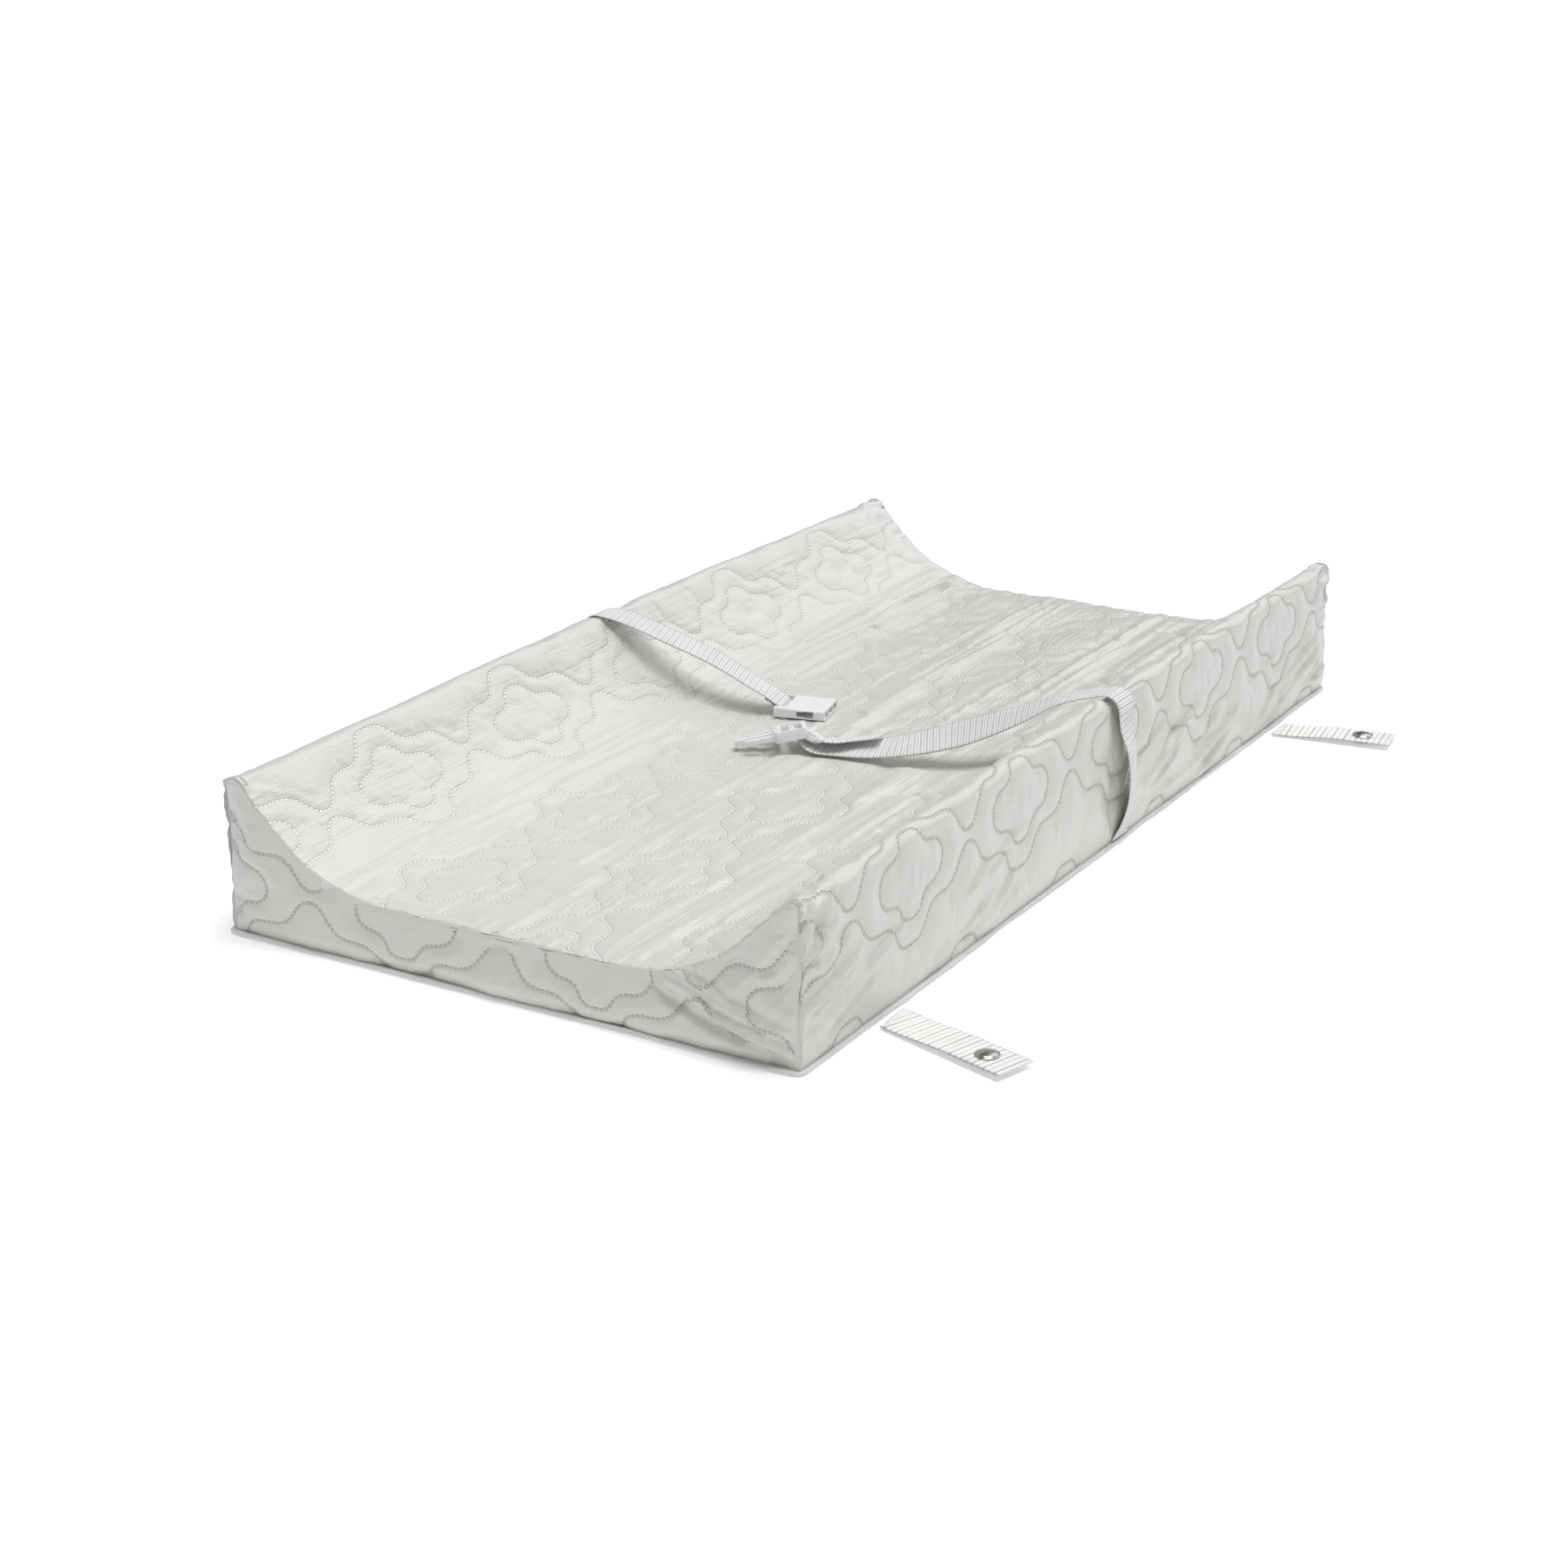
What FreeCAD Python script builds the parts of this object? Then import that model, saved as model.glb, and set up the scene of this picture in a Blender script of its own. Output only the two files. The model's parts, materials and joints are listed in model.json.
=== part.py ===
import FreeCAD, Part
import math
import os

# Contoured changing pad: a foam block with a dished top, a sewn vinyl cover, a two-part webbing
# belt with a side-release buckle, and two webbing anchor tabs that end in press snaps.
# Millimetres.  +X runs along the pad to its head end, -Y is the side with the anchor tabs,
# +Z is up, and the origin is the centre of the underside.

V = FreeCAD.Vector

# ---- pad: driving sizes ----
PAD_LENGTH = 813.0
PAD_WIDTH = 404.0
RIDGE_HEIGHT = 100.0        # top of the two long ridges
TROUGH_HEIGHT = 40.0        # top of the flat floor between them
RIDGE_SLOPE = 45.0          # degrees, inner face of a ridge
CREST_RADIUS = 6.0          # rounding along the top of a ridge
TROUGH_RADIUS = 120.0       # sweep from the floor up to the ridge face
COVER_THICKNESS = 2.5       # quilted vinyl with its wadding
END_THICKNESS = 2.0         # plain end panels
BASE_THICKNESS = 1.2        # underside sheet

# ---- seam round the underside ----
SEAM_WIDTH = 8.5            # how far the folded seam stands out
SEAM_THICKNESS = 2.6
SEAM_CORNER_RADIUS = 6.0

# ---- webbing ----
WEBBING_WIDTH = 25.0
WEBBING_THICKNESS = 1.4
BELT_CLEARANCE = 0.6        # belt to cover at the side
BELT_RISE = 4.0             # belt above the ridge, which crowns up under it
HINGE_GAP = 0.3             # between a rounded webbing end and the next length
SEWN_DEPTH = 7.0            # how far webbing goes into the seam

# ---- belt: where it crosses the pad ----
NEAR_ROOT_X = 20.0          # at the underside seam
NEAR_RIDGE_X = 15.0         # at the top of the ridge
FAR_ROOT_X = 2.0
FAR_RIDGE_X = 0.0
STRAP_STAND_OFF = 9.0       # how far the outer belt bows away from the side
FOLD_LENGTH = 9.0           # turned-back end behind the socket bar
FAR_LOOP_TILT = 32.0        # degrees that the far belt climbs from the socket bar
NEAR_LOOP_DROP = 30.0       # degrees that the near belt falls away from the plug's bar
ADJUSTER_LEG = 8.0          # straight webbing between that bar and the sloping belt

# ---- buckle ----
BAR_RADIUS = 2.0
BAR_CLEARANCE = 0.1         # webbing loop to bar
SIDE_PLAY = 0.5             # webbing edge to buckle, each side
SOCKET_LENGTH = 38.0
SOCKET_CHEEK = 3.5          # socket each side of its webbing opening
SOCKET_THICKNESS = 7.6
SOCKET_WALL = 1.4
SOCKET_SIDE_WALL = 2.0
SOCKET_SLOT = 4.2           # webbing slot in front of the bar
SOCKET_ROUNDING = 1.9       # long edges of the socket
SOCKET_RIB = 1.0            # guide ribs inside the mouth
SOCKET_RIB_LENGTH = 7.0
WINDOW_START = 15.0         # side window, from the bar
WINDOW_STEP = 5.0           # its narrow part
WINDOW_LENGTH = 12.5
WINDOW_NARROWING = 0.6      # narrow part, above and below
SOCKET_REST_GAP = 0.6       # socket to the trough floor
PLUG_THICKNESS = 7.5
RAIL_WIDTH = 3.0
RAIL_ROUNDING = 2.7
CROSSBAR = 3.0
CROSSBAR_HEIGHT = 2.4       # rear bar, level with the top of the rails
PLUG_SLOT = 5.2
SHOULDER = 5.4
PRONG_CLEARANCE = 0.3       # prongs to the socket, each way
PRONG_END_CLEARANCE = 0.4   # tongue tip to the closed end of the socket
TONGUE_CHAMFER = 0.5
TONGUE_WIDTH = 9.6
TONGUE_GROOVE_WIDTH = 1.6
TONGUE_GROOVE_DEPTH = 1.0
ARM_WIDTH = 3.6
ARM_SHORTER = 6.0           # arms stop this far behind the tongue tip
ARM_ROOT_RADIUS = 1.9
ARM_ROOT_CLEARANCE = 0.1
CATCH_DEPTH = 1.5
CATCH_LENGTH = 9.0

# ---- buckle: where the two halves lie ----
SOCKET_BAR_X = 37.6
SOCKET_BAR_Y = 69.4
SOCKET_YAW = -77.0
PLUG_BAR_X = -29.8
PLUG_BAR_Y = 22.6
PLUG_BAR_RISE = 12.1        # plug's bar above the trough floor
PLUG_YAW = 125.6
PLUG_PITCH = -10.7
PLUG_ROLL = 9.9

# ---- belt: how it hangs ----
# Outer belt: share of the way up the side, and share of the full stand-off.
OUTER_BOW = ((0.0, 0.0), (0.12, 0.45), (0.3, 0.88), (0.5, 1.0), (0.7, 0.84), (0.87, 0.4))
OUTER_CREST_ANGLES = (175, 150, 125, 103, 90)
# Lengths across the pad: share of the way from ridge to buckle bar, then how far aside and how
# far above the straight line the belt lies there, then the direction across its width.
NEAR_LAP_HANG = (
    (0.085, 0.8, 0.3, (0.99, 0.15, 0.0)),
    (0.160, 1.8, -0.9, (0.97, 0.20, 0.10)),
    (0.293, 1.8, -9.3, (0.90, 0.28, 0.30)),
    (0.474, 2.0, -17.2, (0.80, 0.38, 0.45)),
    (0.663, -2.8, -19.3, (0.88, 0.36, 0.30)),
    (0.846, -0.1, -16.9, (0.94, 0.32, 0.07)),
    (0.924, -1.1, -12.7, (0.88, 0.45, 0.0)),
)
FAR_LAP_HANG = (
    (0.126, -1.8, 5.2, (1.0, 0.0, 0.0)),
    (0.387, -2.6, 8.7, (1.0, 0.0, 0.0)),
    (0.636, -0.9, 9.3, (0.99, 0.10, 0.0)),
    (0.845, 0.2, 5.9, (0.98, 0.20, 0.0)),
)
# Free end of the belt, one thickness above the length that it lies on.
TAIL_HANG = (
    (0.890, 1.0, -10.7, (0.81, 0.56, -0.17)),
    (0.805, 9.6, -14.5, (0.82, 0.50, -0.22)),
    (0.723, 9.4, -13.9, (0.84, 0.48, -0.20)),
)

# ---- anchor tabs ----
TAB_WIDTH = 29.0
TAB_FOOT_X = -315.0
TAB_HEAD_X = 293.0
TAB_FOOT_SKEW = 17.4        # degrees towards the foot end
TAB_HEAD_SKEW = -8.0
TAB_FOOT_LENGTH = 97.0
TAB_HEAD_LENGTH = 84.0
TAB_DIP = 13.0              # where the tab bends down from the seam
TAB_DIP_HEIGHT = 1.2        # webbing's middle above the floor there
SNAP_SETBACK = 22.0         # snap centre to tab end
CAP_RADIUS = 7.5
CAP_HEIGHT = 2.4
CAP_RIM = 0.6
POST_RADIUS = 1.6
POST_CLEARANCE = 0.1
SNAP_SOCKET_RADIUS = 5.6
SNAP_SOCKET_HEIGHT = 2.7
SNAP_SOCKET_WEB = 0.7       # closed end of the socket
STUD_BORE_RADIUS = 3.1
SOCKET_CUP_ROUNDING = 0.35
SPRING_WIRE = 0.35
SPRING_GROOVE = 0.42        # groove that the spring wire sits in
SPRING_INSET = 1.0          # spring centre above the socket mouth

# ---- worked out from the above ----
HALF_LENGTH = PAD_LENGTH / 2
HALF_WIDTH = PAD_WIDTH / 2
HALF_WEB = WEBBING_WIDTH / 2
HALF_THICK = WEBBING_THICKNESS / 2
SLOPE = math.radians(RIDGE_SLOPE)
LOOP_RADIUS = BAR_RADIUS + BAR_CLEARANCE + HALF_THICK
LAYER_GAP = 0.05            # between two layers of webbing
WEBBING_END_FLAT = 0.014    # left between the two roundings of a webbing end
LOOP_BACK_ANGLE = -120      # degrees round a bar at which the far webbing's turned-back end leaves it
LAYER_STEP = WEBBING_THICKNESS + LAYER_GAP
BUCKLE_HALF_OPENING = HALF_WEB + SIDE_PLAY
SOCKET_WIDTH = 2 * (BUCKLE_HALF_OPENING + SOCKET_CHEEK)
CREST_Y = HALF_WIDTH - CREST_RADIUS
CREST_Z = RIDGE_HEIGHT - CREST_RADIUS
BELT_CREST_RADIUS = CREST_RADIUS + BELT_RISE + HALF_THICK
CAVITY_HEIGHT = SOCKET_THICKNESS - 2 * SOCKET_WALL
CAVITY_HALF_WIDTH = SOCKET_WIDTH / 2 - SOCKET_SIDE_WALL
PRONG_THICKNESS = CAVITY_HEIGHT - 2 * PRONG_CLEARANCE
CREST_CORNER = CREST_Z + CREST_RADIUS / math.tan((math.pi / 2 - SLOPE) / 2)
FLOOR_EDGE = HALF_WIDTH - (CREST_CORNER - TROUGH_HEIGHT) / math.tan(SLOPE) - TROUGH_RADIUS * math.tan(SLOPE / 2)


def floor_height(y):
    """Height of the pad's top at y, on the flat floor or the sweep beside it."""
    along = max(abs(y) - FLOOR_EDGE, 0)
    return TROUGH_HEIGHT + TROUGH_RADIUS - math.sqrt(TROUGH_RADIUS ** 2 - along ** 2)


SOCKET_UNDERSIDE = floor_height(SOCKET_BAR_Y + BAR_RADIUS + SOCKET_WIDTH / 4) + SOCKET_REST_GAP
SOCKET_BAR = V(SOCKET_BAR_X, SOCKET_BAR_Y, SOCKET_UNDERSIDE + SOCKET_THICKNESS / 2)
PLUG_BAR = V(PLUG_BAR_X, PLUG_BAR_Y, TROUGH_HEIGHT + PLUG_BAR_RISE)


def rounded_wire(corners, radii):
    """Closed wire through 3-D corners, each corner rounded by its radius (0 keeps it sharp)."""
    count = len(corners)
    starts = []
    ends = []
    middles = []
    for i in range(count):
        point = corners[i]
        back = (corners[i - 1] - point).normalize()
        ahead = (corners[(i + 1) % count] - point).normalize()
        half = back.getAngle(ahead) / 2
        reach = radii[i] / math.tan(half)
        bisector = (back + ahead).normalize()
        starts.append(point + back * reach)
        ends.append(point + ahead * reach)
        middles.append(point + bisector * (radii[i] / math.sin(half) - radii[i]))
    edges = []
    for i in range(count):
        if radii[i] > 0:
            edges.append(Part.Arc(starts[i], middles[i], ends[i]).toShape())
        edges.append(Part.LineSegment(ends[i], starts[(i + 1) % count]).toShape())
    return Part.Wire(edges)


def contour_face(x, inset, bottom):
    """Cross-section of the pad at x, drawn in from its outer surface by inset."""
    drop = inset / math.cos(SLOPE)
    side = HALF_WIDTH - inset
    ridge = CREST_CORNER - inset * math.tan(SLOPE) - drop
    floor = TROUGH_HEIGHT - inset
    foot = HALF_WIDTH - (CREST_CORNER - floor - drop) / math.tan(SLOPE)
    corners = [
        V(x, -side, bottom),
        V(x, -side, ridge),
        V(x, -foot, floor),
        V(x, foot, floor),
        V(x, side, ridge),
        V(x, side, bottom),
    ]
    crest = CREST_RADIUS - inset
    sweep = TROUGH_RADIUS + inset
    return Part.Face(rounded_wire(corners, [0, crest, sweep, sweep, crest, 0]))


def block(x0, x1, y0, y1, z0, z1):
    """Box between two corners."""
    return Part.makeBox(x1 - x0, y1 - y0, z1 - z0, V(x0, y0, z0))


def centred_block(x0, x1, half_y, half_z):
    """Box from x0 to x1, centred on Y and Z."""
    return block(x0, x1, -half_y, half_y, -half_z, half_z)


def axes_placement(origin, yaw, pitch=0.0, roll=0.0):
    """Placement whose local X points along yaw and pitch, then rolled about itself."""
    turn = FreeCAD.Rotation(V(0, 0, 1), yaw)
    tilt = FreeCAD.Rotation(V(0, 1, 0), -pitch)
    lean = FreeCAD.Rotation(V(1, 0, 0), roll)
    return FreeCAD.Placement(origin, turn * tilt * lean)


def placed(shape, placement):
    """Copy of a shape moved to a placement."""
    return shape.transformed(placement.toMatrix(), True)


def section(centre, width_axis, run, width):
    """Rectangle of webbing across a run direction."""
    across = (width_axis - run * width_axis.dot(run)).normalize()
    normal = run.cross(across).normalize()
    half_w = across * (width / 2)
    half_t = normal * HALF_THICK
    low = centre - half_t
    high = centre + half_t
    return Part.makePolygon([low - half_w, low + half_w, high + half_w, high - half_w, low - half_w])


def ribbon(stations, runs, rounded=(False, False), width=WEBBING_WIDTH):
    """Webbing through a list of (centre, width direction) stations, ruled from one to the next.

    runs are the directions of travel at the two ends.  A rounded end reaches half a thickness past
    its station, which is the line it turns about.
    """
    first = stations[0][0]
    final = stations[-1][0]
    if rounded[0]:
        first = first - runs[0] * HALF_THICK
    if rounded[1]:
        final = final + runs[1] * HALF_THICK
    wires = [section(first, stations[0][1], runs[0], width)]
    for i in range(1, len(stations) - 1):
        centre, width_axis = stations[i]
        run = (stations[i + 1][0] - stations[i - 1][0]).normalize()
        wires.append(section(centre, width_axis, run, width))
    wires.append(section(final, stations[-1][1], runs[1], width))
    body = Part.makeLoft(wires, True, True)
    if rounded[0]:
        body = rounded_end(body, first)
    if rounded[1]:
        body = rounded_end(body, final)
    return body


def rounded_end(body, centre):
    """Webbing with the two long edges of one end rounded."""
    reach = HALF_THICK + WEBBING_END_FLAT
    edges = [e for e in body.Edges if e.Length > HALF_WEB and (e.CenterOfMass - centre).Length < reach]
    return body.makeFillet(HALF_THICK - WEBBING_END_FLAT, edges)


def single(shape):
    """The one solid in a shape."""
    if len(shape.Solids) != 1:
        raise ValueError("expected one solid, found " + str(len(shape.Solids)))
    return shape.Solids[0]


def strip(edges):
    """Flat webbing whose centre line is drawn in the local XZ plane, one webbing width across Y."""
    line = Part.Wire(edges)
    line.translate(V(0, -HALF_WEB, 0))
    upper = line.makeOffset2D(HALF_THICK, 0, False, True)
    lower = line.makeOffset2D(-HALF_THICK, 0, False, True)
    ends = [(upper.OrderedVertexes[i].Point, lower.OrderedVertexes[i].Point) for i in (0, -1)]
    caps = [Part.LineSegment(a, b).toShape() for a, b in ends]
    outline = Part.Wire(Part.__sortEdges__(upper.Edges + lower.Edges + caps))
    return Part.Face(outline).extrude(V(0, WEBBING_WIDTH, 0))


def polar(radius, degrees, centre_x=0.0, centre_z=0.0):
    """Point in the local XZ plane."""
    angle = math.radians(degrees)
    return V(centre_x + radius * math.cos(angle), 0, centre_z + radius * math.sin(angle))


def arc(radius, start, end, centre_x=0.0, centre_z=0.0):
    """Arc in the local XZ plane between two angles in degrees."""
    middle = (start + end) / 2
    points = [polar(radius, a, centre_x, centre_z) for a in (start, middle, end)]
    return Part.Arc(*points).toShape()


def line(x0, z0, x1, z1):
    """Straight edge in the local XZ plane."""
    return Part.LineSegment(V(x0, 0, z0), V(x1, 0, z1)).toShape()


# ---- the pad itself ----

def foam_core():
    face = contour_face(-HALF_LENGTH + END_THICKNESS, COVER_THICKNESS, BASE_THICKNESS)
    return face.extrude(V(PAD_LENGTH - 2 * END_THICKNESS, 0, 0))


def quilted_cover():
    start = -HALF_LENGTH + END_THICKNESS
    run = V(PAD_LENGTH - 2 * END_THICKNESS, 0, 0)
    outer = contour_face(start, 0.0, BASE_THICKNESS).extrude(run)
    return outer.cut(foam_core())


def end_panel(x):
    return contour_face(x, 0.0, BASE_THICKNESS).extrude(V(END_THICKNESS, 0, 0))


def base_panel():
    return block(-HALF_LENGTH, HALF_LENGTH, -HALF_WIDTH, HALF_WIDTH, 0, BASE_THICKNESS)


def seam_frame():
    """Folded seam all round, with a pocket for each sewn-in webbing end."""
    reach_x = HALF_LENGTH + SEAM_WIDTH
    reach_y = HALF_WIDTH + SEAM_WIDTH
    frame = block(-reach_x, reach_x, -reach_y, reach_y, 0, SEAM_THICKNESS)
    upright = [e for e in frame.Edges if abs(e.Vertexes[0].Z - e.Vertexes[1].Z) > SEAM_THICKNESS / 2]
    frame = frame.makeFillet(SEAM_CORNER_RADIUS, upright)
    frame = frame.cut(block(-HALF_LENGTH, HALF_LENGTH, -HALF_WIDTH, HALF_WIDTH, 0, SEAM_THICKNESS))
    for end in sewn_ends().values():
        frame = frame.cut(end)
    return frame


def sewn_end(x):
    """End of an anchor tab, caught inside the near seam."""
    middle = SEAM_THICKNESS / 2
    y0 = -(HALF_WIDTH + SEAM_WIDTH)
    y1 = y0 + SEWN_DEPTH
    return block(x - TAB_WIDTH / 2, x + TAB_WIDTH / 2, y0, y1, middle - HALF_THICK, middle + HALF_THICK)


def sewn_ends():
    return {
        "anchor_strap_foot_sewn_end": sewn_end(TAB_FOOT_X),
        "anchor_strap_head_sewn_end": sewn_end(TAB_HEAD_X),
    }


# ---- belt ----

def crest_point(x, side, degrees):
    """Centre of the belt on the round top of a ridge; 180 is level on the outside, 90 is the top."""
    angle = math.radians(degrees)
    y = CREST_Y - BELT_CREST_RADIUS * math.cos(angle)
    return V(x, side * y, CREST_Z + BELT_CREST_RADIUS * math.sin(angle))


def outer_strap(root_x, ridge_x, side):
    """Belt from the underside seam up the outside of the pad and over the top of the ridge."""
    root_z = SEAM_THICKNESS + HINGE_GAP + HALF_THICK
    wall = HALF_WIDTH + BELT_CLEARANCE + HALF_THICK
    rise = CREST_Z - root_z
    stations = []
    for share, bow in OUTER_BOW:
        x = root_x + (ridge_x - root_x) * share
        stations.append((V(x, side * (wall + STRAP_STAND_OFF * bow), root_z + rise * share), V(1, 0, 0)))
    for degrees in OUTER_CREST_ANGLES:
        stations.append((crest_point(ridge_x, side, degrees), V(1, 0, 0)))
    lean = stations[1][0] - stations[0][0]
    lean.x = 0
    return ribbon(stations, (lean.normalize(), V(0, -side, 0)), (True, True))


def lap_start(ridge_x, side):
    """First station of the length that lies across the pad, just clear of the ridge fold."""
    return crest_point(ridge_x, side, 90) - V(0, side * (HALF_THICK + HINGE_GAP), 0)


def socket_placement():
    return axes_placement(SOCKET_BAR, SOCKET_YAW)


def plug_placement():
    return axes_placement(PLUG_BAR, PLUG_YAW, PLUG_PITCH, PLUG_ROLL)


def far_loop_placement():
    """Socket bar, with local -X climbing along the far belt."""
    return socket_placement() * FreeCAD.Placement(V(0, 0, 0), FreeCAD.Rotation(V(0, 1, 0), FAR_LOOP_TILT))


def hanging(start, bar, hang):
    """Stations of a length that hangs from the top of a ridge towards a buckle bar."""
    stations = []
    for share, aside, above, across in hang:
        stations.append((start + (bar - start) * share + V(aside, 0, above), V(*across)))
    return stations


def far_lap():
    """Belt from the far ridge down to the top layer behind the socket bar."""
    place = far_loop_placement()
    end = place.multVec(V(-fold_reach(), 0, LOOP_RADIUS))
    stations = [(lap_start(FAR_RIDGE_X, 1), V(1, 0, 0))]
    stations += hanging(crest_point(FAR_RIDGE_X, 1, 90), SOCKET_BAR, FAR_LAP_HANG)
    stations.append((end, place.Rotation.multVec(V(0, 1, 0))))
    return ribbon(stations, (V(0, -1, 0), place.Rotation.multVec(V(1, 0, 0))))


def fold_reach():
    """How far behind the socket bar the two stitched layers reach."""
    return LOOP_RADIUS + FOLD_LENGTH + HALF_THICK


def far_bar_loop():
    """Webbing round the socket bar, its turned-back end stitched under the top layer."""
    lower = polar(LOOP_RADIUS, LOOP_BACK_ANGLE)
    inner_z = LOOP_RADIUS - LAYER_STEP
    run = (inner_z - lower.z) / math.tan(math.radians(30))
    bend_x = lower.x - run
    edges = [
        line(-fold_reach(), inner_z, bend_x, inner_z),
        line(bend_x, inner_z, lower.x, lower.z),
        arc(LOOP_RADIUS, LOOP_BACK_ANGLE, 90),
        line(0, LOOP_RADIUS, -fold_reach(), LOOP_RADIUS),
    ]
    return placed(strip(edges), far_loop_placement())


def adjuster_reach():
    """How far behind the plug's middle bar its threaded webbing is straight."""
    return BAR_RADIUS + PLUG_SLOT + CROSSBAR + HINGE_GAP * 2


def main_leg_end():
    """Local end of the straight webbing that drops away below the plug's frame."""
    drop = math.radians(NEAR_LOOP_DROP)
    return polar(LOOP_RADIUS, NEAR_LOOP_DROP - 90) - V(math.cos(drop), 0, math.sin(drop)) * ADJUSTER_LEG


def near_adjuster_loop():
    """Webbing under the frame, over the middle bar and back out on top of itself."""
    tail_z = LAYER_STEP - LOOP_RADIUS
    bend = -tail_z
    leave = NEAR_LOOP_DROP - 90
    tangent = polar(LOOP_RADIUS, leave)
    leg = main_leg_end()
    edges = [
        line(leg.x, leg.z, tangent.x, tangent.z),
        arc(LOOP_RADIUS, leave, 180),
        arc(bend, 0, -90, -LOOP_RADIUS - bend, 0),
        line(-LOOP_RADIUS - bend, tail_z, -adjuster_reach(), tail_z),
    ]
    return placed(strip(edges), plug_placement())


def near_lap():
    """Belt from the near ridge down to the straight leg under the plug's frame."""
    place = plug_placement()
    drop = math.radians(NEAR_LOOP_DROP)
    stations = [(lap_start(NEAR_RIDGE_X, -1), V(1, 0, 0))]
    stations += hanging(crest_point(NEAR_RIDGE_X, -1, 90), PLUG_BAR, NEAR_LAP_HANG)
    stations.append((place.multVec(main_leg_end()), place.Rotation.multVec(V(0, -1, 0))))
    return ribbon(stations, (V(0, 1, 0), place.Rotation.multVec(V(math.cos(drop), 0, math.sin(drop)))))


def near_tail():
    """Free end of the belt, lying back over the length that it comes from."""
    place = plug_placement()
    start = place.multVec(V(-adjuster_reach(), 0, LAYER_STEP - LOOP_RADIUS))
    stations = [(start, place.Rotation.multVec(V(0, -1, 0)))]
    for centre, across in hanging(crest_point(NEAR_RIDGE_X, -1, 90), PLUG_BAR, TAIL_HANG):
        stations.append((centre + V(0, 0, WEBBING_THICKNESS), across))
    finish = (stations[-1][0] - stations[-2][0]).normalize()
    return ribbon(stations, (place.Rotation.multVec(V(-1, 0, 0)), finish))


# ---- buckle ----

def socket_front():
    """Distance from the bar to the mouth."""
    return SOCKET_LENGTH - BAR_RADIUS


def socket_back_wall():
    """Distance from the bar to the closed end of the cavity."""
    return BAR_RADIUS + SOCKET_SLOT + SOCKET_WALL


def prong_length():
    """Tongue that reaches from the plug's shoulder to just short of the closed end."""
    return socket_front() - socket_back_wall() - PRONG_END_CLEARANCE


def buckle_socket():
    half_w = SOCKET_WIDTH / 2
    half_t = SOCKET_THICKNESS / 2
    front = socket_front()
    body = centred_block(-BAR_RADIUS, front, half_w, half_t)
    long_edges = [e for e in body.Edges if abs(e.Vertexes[0].X - e.Vertexes[1].X) > front]
    body = body.makeFillet(SOCKET_ROUNDING, long_edges)
    body = body.cut(centred_block(-2 * BAR_RADIUS, BAR_RADIUS + SOCKET_SLOT, BUCKLE_HALF_OPENING, half_t))
    body = body.fuse(Part.makeCylinder(BAR_RADIUS, SOCKET_WIDTH - 2 * SOCKET_SIDE_WALL,
                                       V(0, -CAVITY_HALF_WIDTH, 0), V(0, 1, 0)))
    body = body.cut(centred_block(socket_back_wall(), front, CAVITY_HALF_WIDTH, CAVITY_HEIGHT / 2))
    inner = TONGUE_WIDTH / 2 + PRONG_CLEARANCE
    step = WINDOW_START + WINDOW_STEP
    rib_half = (SOCKET_THICKNESS - SOCKET_WALL) / 2
    for side in (-1, 1):
        ribs = sorted((side * inner, side * (inner + SOCKET_RIB)))
        body = body.fuse(block(front - SOCKET_RIB_LENGTH, front, *ribs, -rib_half, rib_half))
        wall = sorted((side * (CAVITY_HALF_WIDTH - SOCKET_RIB), side * half_w))
        high = CAVITY_HEIGHT / 2
        low = high - WINDOW_NARROWING
        body = body.cut(block(WINDOW_START, step, *wall, -low, low))
        body = body.cut(block(step, WINDOW_START + WINDOW_LENGTH, *wall, -high, high))
    return placed(body.removeSplitter(), socket_placement())


def plug_shoulder_front():
    """Distance from the middle bar to the face that meets the socket mouth."""
    return BAR_RADIUS + PLUG_SLOT + SHOULDER


def arm_centre():
    """Distance of an arm's centre line from the plug's own."""
    return CAVITY_HALF_WIDTH - PRONG_CLEARANCE - CATCH_DEPTH - ARM_WIDTH / 2


def buckle_plug():
    half_t = PLUG_THICKNESS / 2
    rail = BUCKLE_HALF_OPENING + RAIL_WIDTH
    rear = -(BAR_RADIUS + PLUG_SLOT + CROSSBAR)
    slot_front = BAR_RADIUS + PLUG_SLOT
    front = plug_shoulder_front()
    body = centred_block(rear, front, rail, half_t)
    upright = [e for e in body.Edges if abs(e.Vertexes[0].Z - e.Vertexes[1].Z) > half_t]
    body = body.makeFillet(RAIL_ROUNDING, upright)
    body = body.cut(centred_block(rear + CROSSBAR, slot_front, BUCKLE_HALF_OPENING, half_t))
    under = half_t - CROSSBAR_HEIGHT
    body = body.cut(block(rear, rear + CROSSBAR, -BUCKLE_HALF_OPENING, BUCKLE_HALF_OPENING, -half_t, under))
    body = body.fuse(Part.makeCylinder(BAR_RADIUS, 2 * rail - RAIL_WIDTH, V(0, RAIL_WIDTH / 2 - rail, 0), V(0, 1, 0)))
    body = body.fuse(plug_tongue())
    for side in (-1, 1):
        body = body.cut(arm_recess(side))
    return placed(body.removeSplitter(), plug_placement())


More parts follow.
